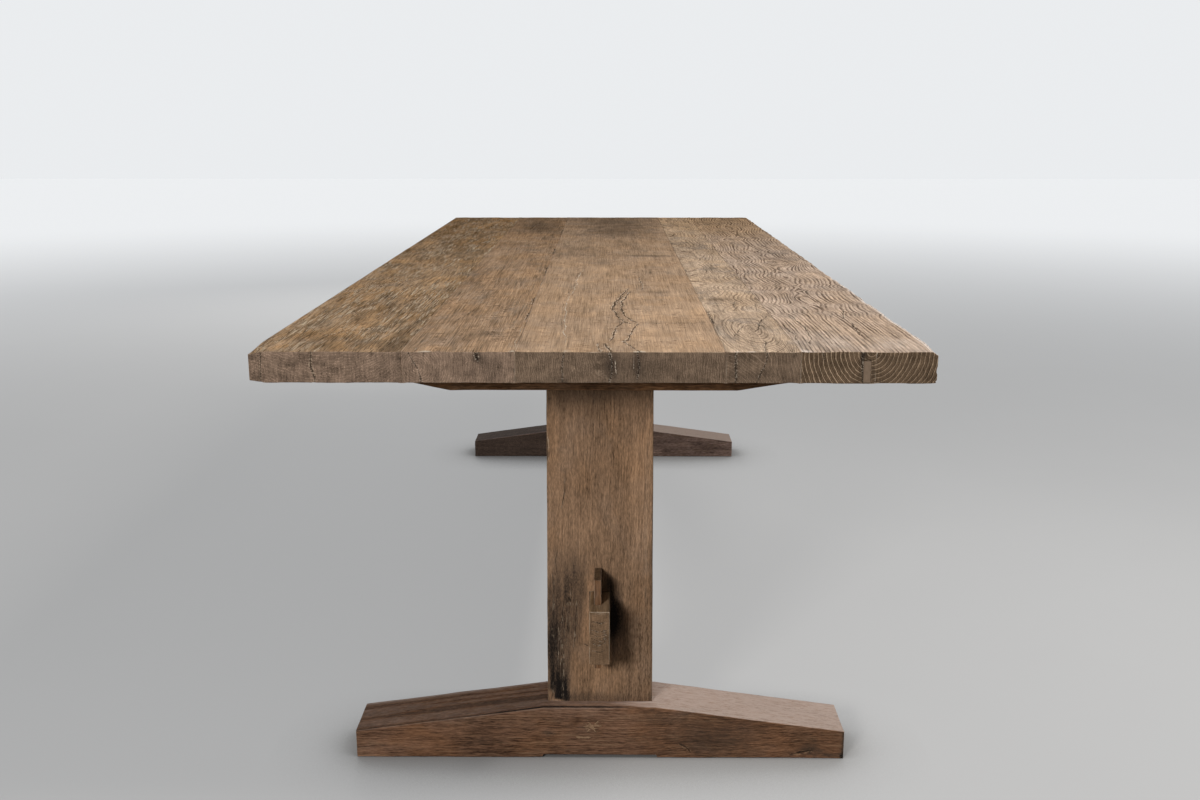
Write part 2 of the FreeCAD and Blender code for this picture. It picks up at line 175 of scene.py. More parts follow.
def normals_of(points, faces):
    a, b, c, d = (points[faces[:, i]] for i in range(4))
    flat = np.cross(c - a, d - b)
    total = np.zeros_like(points)
    for i in range(4):
        for axis in range(3):
            total[:, axis] += np.bincount(faces[:, i], flat[:, axis], len(points))
    return total / np.maximum(np.linalg.norm(total, axis=1, keepdims=True), 1e-9)


def ease(points, low, high, radius):
    """Rounds the arrises of the block from low to high. Points inside it, such as a mortise's, stay."""
    radius = np.broadcast_to(radius, len(points))[:, None]
    core = np.clip(points, low + radius, high - radius)
    reach = points - core
    length = np.linalg.norm(reach, axis=1, keepdims=True)
    skin_point = (np.isclose(points, low) | np.isclose(points, high)).any(axis=1, keepdims=True)
    return np.where(skin_point & (length > 1e-6), core + reach / np.maximum(length, 1e-6) * radius, points)


def share_along(points, low, high, axis):
    """How far a point lies from a block's low side to its high side, from 0 to 1."""
    return (points[:, axis] - low[axis]) / (high[axis] - low[axis])


def wavy(mean, sway, axis, feature, limits, seed, octaves=3):
    """A radius for arrises that wavers along an axis."""
    def radius(points):
        return np.clip(mean + sway * noise(points[:, [axis]], (feature,), seed, octaves), *limits)

    return radius


NOWHERE = ((), (), ())


def block(low, high, steps, radius, fine=NOWHERE, planes=NOWHERE, hollow=None):
    """Points and faces of a block with eased arrises. steps, fine and planes are for each axis: how far
    apart the cutting planes lie, where they are finer, and which there have to be. radius(points) gives
    the arris at each point."""
    cuts = [lines(*span) for span in zip(low, high, steps, fine)]
    points, faces = skin([sorted({*cut, *more}) for cut, more in zip(cuts, planes)], hollow)
    return ease(points, low, high, radius(points)), faces


def facing(normals, axis, sign=1):
    """How far each point's face looks along an axis, from 0 to 1."""
    return smooth(sign * normals[:, axis], 0.3, 0.8)


def make_piece(name, points, faces, wood, numbers, node, body=RIDES_ON):
    """A mesh that stands for a CAD node and rides on a body. wood is (material, slot), whose slot is not
    used, and numbers are what the material reads, by name."""
    mesh = bpy.data.meshes.new(name)
    mesh.vertices.add(len(points))
    mesh.vertices.foreach_set("co", (points * MM).astype(np.float32).ravel())
    mesh.loops.add(faces.size)
    mesh.loops.foreach_set("vertex_index", faces.astype(np.int32).ravel())
    mesh.polygons.add(len(faces))
    mesh.polygons.foreach_set("loop_start", np.arange(0, faces.size, 4, dtype=np.int32))
    mesh.polygons.foreach_set("use_smooth", np.ones(len(faces), bool))
    mesh.update(calc_edges=True)
    for label, values in numbers.items():
        attribute = mesh.attributes.new(label, "FLOAT", "POINT")
        attribute.data.foreach_set("value", np.broadcast_to(values, len(points)).astype(np.float32))
    mesh.materials.append(wood[0])
    piece = bpy.data.objects.new(name, mesh)
    bpy.context.scene.collection.objects.link(piece)
    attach(piece, body)
    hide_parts(node)


# ---- Wood ----

# Where the bands of curly grain end along a plank, how long the first and the last are, how far their
# ends waver, and where the curls set in.
BAND_ENDS = (-850, -740, -574, -478, -300, -115, 80, 154, 470, 700, 900)
FIRST_BAND, LAST_BAND = 150, 300
BAND_SWAY = 16
CURLS_BEGIN = (-930, -800)


def curly(place, radius, figure, seed):
    """The radius where the grain curls, away from a plank's near end. figure is (bow, closer, middle):
    how many mm the lines bow within each band across the plank, and how much closer together they lie
    on both sides of the middle radius."""
    bow, closer, middle = figure
    along = place[:, 1] + BAND_SWAY * noise(place[:, [0]], (40,), seed + 13)
    band = np.searchsorted(BAND_ENDS, along)
    ends = np.array((BAND_ENDS[0] - FIRST_BAND, *BAND_ENDS, BAND_ENDS[-1] + LAST_BAND))
    part = 2 * (along - ends[band]) / (ends[band + 1] - ends[band]) - 1
    turn = 2 * cell_value(band[:, None], seed + 14) - 1
    bowed = bow * (0.7 * np.sign(turn) + 0.5 * turn) * part**2 + 6 * cell_value(band[:, None], seed + 15)
    swirl = 0.45 * bow * noise(place, (60, 70, 60), seed + 11)
    return radius + smooth(along, *CURLS_BEGIN) * (bowed + swirl + closer * (radius - middle))


# Where an oval fades out, in shares of its size, and between which heights it sets in.
OVAL_RIM = (1.3, 0.75)
OVAL_LAYER = (735, 764)


def ringed(place, radius, oval, seed):
    """The radius where rings lie as ovals within ovals on the top face. oval is (across, along, half
    width, half length, radius at its middle)."""
    across, along, wide, long, centre = oval
    apart = np.hypot((place[:, 0] - across) / wide, (place[:, 1] - along) / long)
    share = smooth(apart, *OVAL_RIM) * smooth(place[:, 2], *OVAL_LAYER)
    centred = centre + wide * apart + 3 * noise(place, (30, 100, 30), seed + 16)
    return radius * (1 - share) + centred * share


# The features of the two noises that rings wander with, and how much longer than wide a knot is.
WIDE_WANDER, FINE_WANDER = (120, 520, 120), (24, 150, 24)
KNOT_STRETCH = 3.2


def growth_ring(place, pith, lean, spacing, wander, seed, knots=(), figure=None, oval=None):
    """The growth ring that each point lies in. place is (across, along, through) the grain, pith is
    the tree's heart (across, through), lean is how far it moves per millimetre along, and each knot is
    (across, along, reach, push)."""
    across = place[:, 0] - pith[0] - lean[0] * place[:, 1]
    through = place[:, 2] - pith[1] - lean[1] * place[:, 1]
    radius = np.hypot(across, through)
    radius = radius + wander * noise(place, WIDE_WANDER, seed)
    radius = radius + 0.16 * wander * noise(place, FINE_WANDER, seed + 7)
    if figure:
        radius = curly(place, radius, figure, seed)
    for knot_across, knot_along, reach, push in knots:
        apart = (place[:, :2] - (knot_across, knot_along)) / (reach, KNOT_STRETCH * reach)
        radius = radius - push * np.exp(-(apart**2).sum(axis=1))
    if oval:
        radius = ringed(place, radius, oval, seed)
    return radius / spacing


def wood_numbers(normals, along, ring, crack, tone, far=0):
    """What a piece's material reads at each point. crack is (distance from its middle, half width)."""
    return {
        "ring": ring,
        "end_grain": smooth(np.abs(normals[:, along]), 0.45, 0.85),
        "beside": crack[0],
        "half": crack[1],
        "edge": smooth(1 - np.abs(normals).max(axis=1), 0.02, 0.2),
        "tone": np.clip(tone, -1, 1),
        "far": far,
    }


# How far from its middle a crack shows at all, fades out and sinks the face beyond its own width, and
# over which share of its length each of its ends narrows.
CRACK_REACH, CRACK_FADE, SUNKEN_RIM = 9.0, (4, 7), 2.4
CRACK_TAPER = 0.12
NO_CRACK = (CRACK_REACH, 0)


def cracks_at(place, cracks, sway, seed):
    """For each point of a face: its distance from the middle of the nearest crack, the crack's half
    width there, and how deep the face has sunk. Each crack is (half width, depth, *path), and one with
    a half width below 0 is a pale fibre that stands out."""
    swing = [noise(place, (22, 40), seed, 3), noise(place, (24, 30), seed + 5, 3)]
    moved = place + sway * np.stack(swing, axis=1)
    unsteady = 0.75 + 0.5 * noise(place, (9, 22), seed + 9)
    side, half, depth = np.full(len(place), CRACK_REACH), np.zeros(len(place)), np.zeros(len(place))
    for width, deep, *path in cracks:
        there, share = beside(moved, path)
        apart = np.abs(there)
        strength = smooth(share, 0, CRACK_TAPER) * smooth(1 - share, 0, CRACK_TAPER) * unsteady
        closer = apart < np.abs(side)
        side = np.where(closer, there, side)
        half = np.where(closer, width * strength * (1 - smooth(apart, *CRACK_FADE)), half)
        depth = depth + deep * strength * (1 - smooth(apart, 0.3, abs(width) + SUNKEN_RIM))
    return side, half, depth


def stains_and_shade_at(place, stains_and_shade, seed, feature=(30, 40)):
    """Sum of soft patches: stains, and in places painted shade. Each is (across, along, half width,
    half length, strength).
    """
    tone = np.zeros(len(place))
    ragged = 1 + 0.7 * noise(place, feature, seed, 3)
    for across, along, wide, long, strength in stains_and_shade:
        apart = ((place[:, 0] - across) / wide) ** 2 + ((place[:, 1] - along) / long) ** 2
        tone += strength * np.exp(-apart * ragged)
    return tone


# ---- Materials ----


class Value:
    """A number in a material's node tree. Sums and products of values add Math nodes."""

    def __init__(self, tree, socket):
        self.tree, self.socket = tree, socket

    def __add__(self, other):
        return self.tree.math("ADD", self, other)

    def __sub__(self, other):
        return self.tree.math("SUBTRACT", self, other)

    def __rsub__(self, other):
        return self.tree.math("SUBTRACT", other, self)

    def __mul__(self, other):
        return self.tree.math("MULTIPLY", self, other)

    __radd__, __rmul__ = __add__, __mul__


class Tree:
    """The node tree of a material or world, whose nodes are made by short calls."""

    def __init__(self, name, kind="materials"):
        self.owner = getattr(bpy.data, kind).new(name)
        self.owner.use_nodes = True
        self.nodes, self.links = self.owner.node_tree.nodes, self.owner.node_tree.links
        self.nodes.clear()

    def node(self, kind, **settings):
        made = self.nodes.new(f"ShaderNode{kind}")
        for name, setting in settings.items():
            setattr(made, name, setting)
        return made

    def put(self, socket, value):
        if isinstance(value, Value):
            self.links.new(value.socket, socket)
        else:
            socket.default_value = value

    def math(self, operation, *values, clamp=False):
        made = self.node("Math", operation=operation, use_clamp=clamp)
        for socket, value in zip(made.inputs, values):
            self.put(socket, value)
        return Value(self, made.outputs[0])

    def number(self, name):
        """A number that the mesh carries."""
        return Value(self, self.node("Attribute", attribute_name=name).outputs["Fac"])

    def step(self, value, low, high):
        """0 up to low, 1 from high on, and a smooth step between."""
        made = self.node("MapRange", interpolation_type="SMOOTHSTEP")
        for name, setting in (("Value", value), ("From Min", low), ("From Max", high)):
            self.put(made.inputs[name], setting)
        return Value(self, made.outputs["Result"])

    def lay(self, along):
        """The place: object coordinates in mm, reordered to (across, along, through) the grain."""
        split = self.node("SeparateXYZ")
        self.links.new(self.node("TexCoord").outputs["Object"], split.inputs[0])
        join = self.node("CombineXYZ")
        order = {X: (Y, X, Z), Y: (X, Y, Z), Z: (X, Z, Y)}[along]
        for target, source in enumerate(order):
            self.links.new(split.outputs[source], join.inputs[target])
        self.place = self.scaled(Value(self, join.outputs[0]), (1 / MM,) * 3)

    def scaled(self, vector, scale):
        made = self.node("VectorMath", operation="MULTIPLY")
        self.put(made.inputs[0], vector)
        made.inputs[1].default_value = scale
        return Value(self, made.outputs[0])

    def noise(self, feature, detail=3, roughness=0.6, distortion=0.0):
        """Noise from 0 to 1 whose features have that size in mm (across, along, through)."""
        made = self.node("TexNoise")
        self.put(made.inputs["Vector"], self.scaled(self.place, tuple(1 / f for f in feature)))
        settings = {"Scale": 1.0, "Detail": detail, "Roughness": roughness, "Distortion": distortion}
        for name, setting in settings.items():
            self.put(made.inputs[name], setting)
        return Value(self, made.outputs["Fac"])

    def patches(self, feature, low, high, *kind):
        """Noise made into patches: 0 where it is up to low, 1 from high on."""
        return self.step(self.noise(feature, *kind), low, high)

    def mix(self, share, first, second, blend="MIX"):
        made = self.node("Mix", data_type="RGBA", blend_type=blend)
        for socket, value in zip((made.inputs[0], made.inputs[6], made.inputs[7]), (share, first, second)):
            if isinstance(value, tuple):
                value = (*value, 1.0)
            self.put(socket, value)
        return Value(self, made.outputs[2])

    def finish(self, colour, roughness, height, specular=0.03, **plain):
        """Joins everything to the surface. height is in millimetres, outwards."""
        shader = self.node("BsdfPrincipled")
        self.put(shader.inputs["Base Color"], colour)
        self.put(shader.inputs["Roughness"], roughness)
        shader.inputs["Specular IOR Level"].default_value = specular
        for name, setting in plain.items():
            self.put(shader.inputs[name.replace("_", " ")], setting)
        bump = self.node("Bump")
        bump.inputs["Strength"].default_value = 1.0
        bump.inputs["Distance"].default_value = MM
        self.put(bump.inputs["Height"], height)
        self.links.new(bump.outputs[0], shader.inputs["Normal"])
        self.links.new(shader.outputs[0], self.node("OutputMaterial").inputs[0])
        return self.owner


# The soot and char colours also paint shade, and the near-black core of the tenon's painted shadow.
CHAR_AND_DEEP_SHADE = (0.010, 0.008, 0.007)
SOOT_AND_SHADE = (0.050, 0.036, 0.027)
CREVICE = (0.022, 0.015, 0.010)
DRIFTWOOD = (0.245, 0.205, 0.172)
PALE = (0.52, 0.43, 0.33)
GOLDEN = (1.07, 0.94, 0.74)

# How the looks of old oak differ: lines and arcs are how strongly the growth rings show on long and
# on end grain, relief is their depth in mm and wobble how unsteady they are. mottle is the strength
# of cloudy patches, saw that of marks across the grain, streaky that of marks along it, streak their
# width in mm, fibrous that of single fibres, fibre their width and length in mm, wrinkles the
# strength of thin lines across the grain, flecks that of torn fibres, checks that of hairline cracks,
# grey that of weathering, golden that of warm patches, amber that of warmth at the far end, rubbed
# that of pale arrises, pale the torn fibres' colour and dust that of places worn pale,
# which on the feet is partly painted light.
OAK_LOOKS = dict(lines=0.5, arcs=0.35, relief=0.35, wobble=1.0, mottle=0.5, saw=0.2, streaky=0.8,
    streak=5.0, fibrous=0.8, fibre=(1.4, 30), wrinkles=0.0, flecks=0.0, checks=0.4, grey=0.2, golden=0.25,
    amber=0.0, rubbed=0.7, pale=PALE, dust=PALE, specular=0.0)


def ring_lines(tree, wobble):
    """How strongly the porous early wood of a growth ring shows, from 0 to 1, on long grain and on end
    grain, where it is a thinner line. No two rings are alike."""
    drift = tree.noise((13, 44, 13)) - 0.5
    ring = tree.number("ring") + drift * (2.6 * wobble)
    part = tree.math("FRACT", ring)
    chance = tree.node("TexWhiteNoise", noise_dimensions="1D")
    tree.put(chance.inputs["W"], tree.math("FLOOR", ring))
    chance = Value(tree, chance.outputs["Value"])
    rise = tree.step(part, 0.0, 0.12)
    fade = tree.patches((30, 110, 30), 0.36, 0.60)
    strength = (chance * 0.6 + 0.5) * (fade * 0.6 + 0.4)
    band = rise * (1 - tree.step(part, chance * 0.2 + 0.12, chance * 0.3 + 0.42)) * strength
    return band, rise * (1 - tree.step(part, 0.14, 0.34)) * (strength * 0.6 + 0.4)


def torn_fibres(tree, colour, dark, looks):
    """Pale fibres that stand up, with dark grooves between them, thicker in some places."""
    fibre = tree.noise((2.4, 85, 2.4), 3, 0.75, 0.3)
    groove = tree.noise((1.9, 65, 1.9), 3, 0.75, 0.3)
    where = tree.noise((34, 170, 34), 3, 0.7)
    raised = tree.step(fibre, 0.50, 0.58) * (tree.step(where, 0.46, 0.56) * 0.9 + 0.1)
    colour = tree.mix(raised * looks.flecks, colour, looks.pale)
    colour = tree.mix(tree.step(groove, 0.48, 0.38) * (0.85 * looks.flecks), colour, dark)
    return colour, (raised + groove * 1.5) * looks.flecks


def long_grain(tree, lines, light, dark, looks):
    """Colour and height of a face that shows its grain lengthwise."""
    streak, (fibre, long) = looks.streak, looks.fibre
    features = {"clouds": (120, 420, 120), "patches": (32, 130, 32), "smudges": (22, 180, 22),
                "streaks": (streak, 90, streak), "fibres": (fibre, long, fibre), "across": (70, 6.0, 70)}
    n = {name: tree.noise(feature) - 0.5 for name, feature in features.items()}
    shade = (n["clouds"] * 1.3 + n["patches"] * 1.6) * looks.mottle + 1.0
    shade = shade + (n["smudges"] * 1.8 + n["across"] * 0.5) * looks.saw
    shade = shade + n["streaks"] * (1.5 * looks.streaky) + n["fibres"] * (1.1 * looks.fibrous)
    pores = tree.patches((0.55, 9, 0.55), 0.56, 0.70, 2, 0.5) * (lines * 0.7 + 0.3)
    colour = tree.mix(lines, light, dark)
    colour = tree.mix(1.0, colour, shade, "MULTIPLY")
    colour = tree.mix(pores * 0.45, colour, dark)
    weathered = tree.patches((60, 90, 60), 0.50, 0.66, 4, 0.65) * looks.grey
    colour = tree.mix(weathered, colour, tree.mix(1.0, DRIFTWOOD, shade, "MULTIPLY"))
    golden = tree.patches((80, 120, 80), 0.42, 0.62) * looks.golden
    golden = tree.math("ADD", golden, tree.number("far") * looks.amber, clamp=True)
    colour = tree.mix(golden, colour, tree.mix(1.0, colour, GOLDEN, "MULTIPLY"))
    height = n["fibres"] * 0.14 + n["streaks"] * (0.4 * looks.streaky)
    height = height + n["across"] * (0.3 * looks.saw) + pores * (-0.18)
    if looks.wrinkles:
        fold = tree.math("ABSOLUTE", tree.noise((90, 40, 90), 4, 0.7, 0.8) - 0.5)
        fold = tree.step(fold, 0.026, 0.006) * tree.step(n["patches"] + n["streaks"], -0.06, 0.12)
        colour = tree.mix(fold * looks.wrinkles, colour, dark)
        height = height + fold * (-0.3)
    if looks.flecks:
        colour, torn = torn_fibres(tree, colour, dark, looks)
        height = height + torn * 0.7
    return colour, height


# Three ripples in each ring, in radians.
RING_RIPPLE = 18.85


def end_face(tree, arc, arcs, end_light, end_dark):
    """Colour of sawn end grain: dark wood with a pale arc and three ripples for each ring, and fine
    upright checks."""
    upright = tree.noise((2.6, 30, 26), 4, 0.7) - 0.5
    patches = tree.noise((26, 60, 18), 4, 0.65) - 0.5
    grain = tree.noise((1.2, 9, 1.8), 3, 0.7) - 0.5
    arc = tree.step(arc, 0.15, 0.8) * 0.95 + tree.math("SINE", tree.number("ring") * RING_RIPPLE) * 0.12
    colour = tree.mix(arc * arcs + (0.5 - arcs * 0.3), end_dark, end_light)
    colour = tree.mix(1.0, colour, upright * 1.8 + patches * 1.9 + grain * 1.5 + 1.0, "MULTIPLY")
    check = tree.patches((1.9, 30, 22), 0.63, 0.72, 3, 0.6, 0.4)
    return tree.mix(check * 0.7, colour, CREVICE)


def cracked(tree, colour, pale):
    """Draws the cracks that the mesh carries, with ragged lips. Gives the colour and the height."""
    half = tree.number("half")
    ragged = (tree.noise((3.5, 12, 3.5), 3, 0.7) - 0.5) * (tree.math("ABSOLUTE", half) * 2.2 + 1.0)
    away = tree.math("ABSOLUTE", tree.number("beside") + ragged)
    crumbs = tree.noise((2.6, 15, 2.6), 2, 0.6)
    inside = tree.step(half - away, 0.0, 0.5)
    standing = tree.step(half * -1 - away, 0.0, 0.7)
    lips = tree.step(half * 3.8 - away, 0.0, 1.8)
    colour = tree.mix(lips * tree.step(crumbs, 0.52, 0.60) * 0.6, colour, pale)
    colour = tree.mix(lips * tree.step(crumbs, 0.49, 0.42) * 0.6, colour, SOOT_AND_SHADE)
    colour = tree.mix(inside * (tree.step(half, 0.7, 1.8) * 0.25 + 0.54), colour, CREVICE)
    colour = tree.mix(standing * tree.step(crumbs, 0.34, 0.46), colour, pale)
    return colour, inside * -1.2 + standing * 0.6 + lips * crumbs * 0.8


def stains_and_painted_light(tree, colour, grit, dust):
    """Pale above a tone of 0, sooty below it and charred near -1: stains, dust, painted shade and light.
    """
    tone = tree.number("tone")
    dark = tone * -1 + (grit * 1.4 - 0.7) * tone * -1
    broken = (tree.noise((3.0, 45, 3.0), 3, 0.7) - 0.5) * 2.2 + grit - 0.5
    colour = tree.mix(tree.step(tone + broken * tone, 0.05, 0.95), colour, dust)
    colour = tree.mix(tree.step(dark, 0.0, 0.75) * 0.85, colour, SOOT_AND_SHADE)
    return tree.mix(tree.step(dark, 0.5, 0.95), colour, CHAR_AND_DEEP_SHADE)


def oak(name, along, light, dark, end_light, end_dark, **looks):
    """Old dry oak, in colours for its long grain and its end grain."""
    looks = SimpleNamespace(**{**OAK_LOOKS, **looks})
    tree = Tree(name)
    tree.lay(along)
    end_grain, edge = tree.number("end_grain"), tree.number("edge")
    pore_line, arc = ring_lines(tree, looks.wobble)
    colour, height = long_grain(tree, pore_line * looks.lines, light, dark, looks)
    area = tree.noise((38, 60, 38))
    split = tree.noise((1.7, 120, 1.7), 2, 0.5, 0.3)
    hairline = tree.step(split, 0.66, 0.71) * tree.step(area, 0.42, 0.54) * looks.checks
    colour = tree.mix(hairline, colour, CREVICE)
    colour = tree.mix(end_grain, colour, end_face(tree, arc, looks.arcs, end_light, end_dark))
    colour = tree.mix(edge * tree.step(area, 0.38, 0.54) * looks.rubbed, colour, looks.pale)
    grit = tree.noise((1.3, 4.5, 1.3), 3, 0.7)
    colour = stains_and_painted_light(tree, colour, grit, looks.dust)
    colour, sunk = cracked(tree, colour, looks.pale)
    height = height + pore_line * (-looks.relief) + grit * 0.12 + hairline * (-0.5) + sunk
    return tree.finish(colour, grit * 0.2 + 0.68, height, looks.specular)


def plain_oak(name, light, dark):
    """Oak for the small hidden pieces, whose meshes carry no numbers."""
    tree = Tree(name)
    tree.lay(Y)
    streaks = tree.noise((4, 160, 4))
    fibres = tree.noise((0.9, 26, 0.9))
    colour = tree.mix(streaks, dark, light)
    colour = tree.mix(1.0, colour, (fibres - 0.5) * 0.5 + 1.0, "MULTIPLY")
    return tree.finish(colour, fibres * 0.2 + 0.62, fibres * 0.15 + streaks * 0.2)


def steel(name):
    """Zinc-grey screws, dulled and a little rusty."""
    tree = Tree(name)
    tree.lay(Z)
    wear = tree.noise((3, 3, 3), 4, 0.6)
    rust = tree.patches((9, 9, 9), 0.56, 0.72, 4, 0.65)
    colour = tree.mix(wear, (0.30, 0.30, 0.31), (0.52, 0.52, 0.53))
    colour = tree.mix(rust * 0.8, colour, (0.16, 0.07, 0.03))
    return tree.finish(colour, wear * 0.25 + 0.35 + rust * 0.3, wear * 0.05, Metallic=0.85)


# ---- The top ----

# How far apart the planes that cut a plank lie: along it, close to its near end, and through it.
LENGTHWISE, NEAR_END_STEP, THROUGH_STEP = 7.0, 3.6, 4.6
NEAR_END = 380.0

PLANKS = {
    1: dict(
        step=2.8, pith=(-395, 905), lean=(0.006, -0.03), spacing=4.2, wander=10, fibre=1.6,
        knots=[(-430, -380, 22, 14), (-350, 420, 25, 15)],
        cracks=[(1.5, 1.5, -425, -1065, -380, -1015, -342, -970), (0.8, 1.5, -460, 160, -452, 420),
            (-2.2, 0, -287, 40, -284, 160, -282, 295)],
        end_cracks=[(0.6, 1.5, -483, 775, -483, 715),
            (0.9, 1.5, -407, 775, -409, 748, -405, 728, -410, 715)],
        stains_and_shade=[(-296, -1080, 12, 330, -0.36), (-340, -1130, 40, 60, -0.25), (-440, -950, 40, 90, 0.26),
            (-470, -1150, 20, 50, 0.12), (-400, -700, 30, 120, 0.2), (-330, -500, 30, 120, 0.24),
            (-420, -1120, 70, 110, -0.2), (-380, -350, 60, 60, -0.14), (-340, 100, 50, 90, 0.2),
            (-450, -100, 40, 200, 0.14)],
        end_stains=[(-300, 745, 25, 24, -0.12), (-415, 745, 8, 20, -0.2), (-460, 745, 16, 20, 0.1)]),
    2: dict(
        step=2.8, pith=(-250, 735), lean=(0.004, -0.010), spacing=3.4, wander=9, fibre=0.3,
        knots=[(-190, -420, 14, 10)],
        cracks=[(0.6, 1.2, -240, -975, -215, -835, -210, -625, -205, -495),
            (0.7, 1.2, -185, -1032, -150, -1062, -130, -1042),
            (0.8, 1.5, -262, -1215, -258, -1165, -245, -1150), (1.3, 1.5, -116, -925, -115, -840),
            (1.2, 1.2, -116, -760, -115, -660), (1.3, 1.2, -116, -310, -115, -190),
            (1.4, 1.2, -116, 60, -115, 200), (1.6, 1.2, -116, 620, -115, 780),
            (-0.9, 0, -117, -1195, -116, -950)],
        end_cracks=[(0.7, 1.5, -272, 778, -262, 760, -253, 745, -249, 715),
            (1.6, 2.5, -169, 772, -165, 752)],
        stains_and_shade=[(-160, -1050, 34, 20, -0.34), (-170, 775, 70, 230, -0.25), (-150, -150, 50, 90, -0.2),
            # The patch at (-210, 1000) darkens the far end as painted shade.
            (-200, 300, 60, 60, -0.16), (-210, 1000, 130, 380, -0.26), (-262, -1120, 16, 160, 0.16),
            (-128, -1000, 14, 300, 0.12), (-190, -1120, 50, 90, -0.12), (-244, -1197, 6, 6, 1.4),
            (-117, -1194, 5, 7, 0.9)],
        end_stains=[(-152, 748, 24, 26, -0.34), (-168, 762, 8, 10, -0.6), (-185, 735, 16, 12, -0.2)]),
    3: dict(
        step=3.2, pith=(-400, 690), lean=(0.010, 0.0), spacing=2.9, wander=9, fibre=0.28,
        knots=[(26, -1190, 16, 22), (35, -55, 16, 12)],
        fine=[(-62, -25, 2.2), (2, 78, 2.0)],
        cracks=[(-1.2, 0, -30, -190, -45, -545, -54, -780, -50, -900, -40, -1175),
            (0.5, 1, -35, -215, -51, -545, -60, -780, -56, -900, -47, -1143),
            (1.6, 1.5, 66, -520, 43, -681, 29, -787, 39, -882, 48, -942, 76, -985),
            (1.5, 1.2, 69, -560, 49, -717, 46, -803, 52, -882, 76, -975),
            (1.3, 1, 49, -925, 36, -998, 31, -1051, 27, -1125),
            (1.4, 1, 74, -945, 64, -998, 58, -1051, 48, -1125),
            (1.3, 1, 58, -1075, 43, -1119, 54, -1149, 74, -1215), (1.6, 2, 6, -1125, 11, -1175, 14, -1215),
            (1.6, 2, 19, -1125, 25, -1175, 29, -1215), (1.1, 1.5, 90, -350, 92, -580),
            (0.8, 1, 60, -950, 120, -955, 192, -950), (0.6, 1, 60, -700, 150, -690)],
        end_cracks=[(0.9, 1.5, 24, 778, 30, 750, 24, 715), (0.6, 1, -42, 778, -46, 715),
            (0.8, 1.5, 65, 775, 69, 748, 63, 725), (-0.8, 0, 33, 760, 35, 735),
            (-0.8, 0, 61, 768, 60, 742)],
        stains_and_shade=[(130, 30, 75, 26, -0.42), (115, -595, 55, 24, -0.36), (120, -950, 80, 10, -0.2),
            (-50, 125, 70, 160, -0.3), (60, 650, 110, 180, -0.36), (-45, -810, 12, 40, -0.25),
            # The patch at (40, 1050) darkens the far end as painted shade.
            (40, 1050, 200, 300, -0.42), (16, -1160, 18, 40, -0.24), (46, -1020, 18, 90, -0.16),
            (42, -790, 11, 150, -0.24), (68, -1196, 8, 7, 1.5), (-38, -1190, 6, 12, 0.5)],
        end_stains=[(28, 746, 11, 28, -0.42), (66, 746, 8, 30, -0.34), (-97, 745, 4, 30, -0.2),
            (-40, 745, 10, 30, -0.12), (60, 745, 130, 50, -0.25)]),
    4: dict(
        step=2.5, pith=(170, 700), lean=(0.0, 0.015), spacing=4.6, wander=12, fibre=0.7,
        figure=(11, -0.42, 100), oval=(253, -1020, 54, 190, 58),
        knots=[(204, -575, 20, 26), (262, 120, 26, 30), (235, -250, 20, 18)],
        cracks=[(0.9, 2, 295, -870, 270, -960, 255, -1045), (1.2, 2, 260, -1100, 250, -1215),
            (0.8, 1.5, 255, -705, 248, -835), (0.8, 1.5, 295, -720, 282, -835),
            (0.8, 1.5, 245, -966, 215, -1084), (1.5, 2, 195, -970, 195, -880, 195, -795),
            (1.2, 2, 195, -275, 195, -115), (0.9, 1, 198, -820, 225, -826, 252, -818)],
        end_cracks=[(0.9, 2, 256, 778, 250, 752, 236, 715), (1.0, 1.5, 207, 775, 210, 715)],
        stains_and_shade=[(225, -690, 34, 20, -0.4), (235, -930, 40, 60, -0.14), (250, -400, 40, 80, -0.15),
            (250, -900, 90, 300, -0.12), (280, -1010, 10, 28, 0.3), (275, -1110, 16, 40, 0.15),
            (245, -1110, 70, 90, -0.14), (250, 0, 80, 300, 0.1), (232, -1193, 10, 7, 0.8),
            (210, -1195, 5, 5, 0.8), (256, -1010, 10, 30, -0.14)],
        end_stains=[(207, 745, 8, 30, -0.4), (245, 735, 18, 12, -0.25)]),
    5: dict(
        step=2.8, pith=(400, 772), lean=(-0.003, 0.002), spacing=6.5, wander=10, fibre=0.8,
        figure=(9, -0.25, 50),
        knots=[(380, -680, 20, 20), (440, -100, 30, 30), (345, 420, 22, 24)],
        cracks=[(0.9, 2, 306, -950, 314, -1060, 306, -1150),
            (1.0, 2, 333, -840, 344, -975, 334, -1080, 320, -1165), (1.1, 2, 427, -935, 413, -1065),
            (1.0, 1.5, 345, -405, 395, -250, 450, -120), (1.1, 1.5, 312, -330, 310, -510),
            (0.9, 1.2, 440, -800, 418, -910)],
        end_cracks=[(-0.8, 0.5, 412, 775, 408, 715), (1.0, 1.2, 391, 778, 391.5, 715),
            (0.6, 1, 330, 775, 336, 750)],
        stains_and_shade=[(410, -1115, 26, 50, -0.2), (400, -400, 60, 60, -0.14), (380, -620, 50, 60, -0.12),
            (420, -1130, 120, 80, 0.36), (308, -1190, 12, 10, 0.6), (350, -780, 40, 50, 0.16),
            # The patch at (400, 950) darkens the far end as painted shade.
            (400, 950, 120, 330, -0.16)],
        end_stains=[(392, 765, 5, 8, -0.6), (390, 745, 3.5, 24, -0.5), (406, 740, 2.6, 16, -0.5)]),
}

LEFT_CORNER_RADIUS = 3.0
CORNER_RADIUS, JOINT_RADIUS = 1.0, 0.35
WANE_RADII, WANE_TONE, WANE_RIM = (1.0, 5.0), 1.5, 7.0
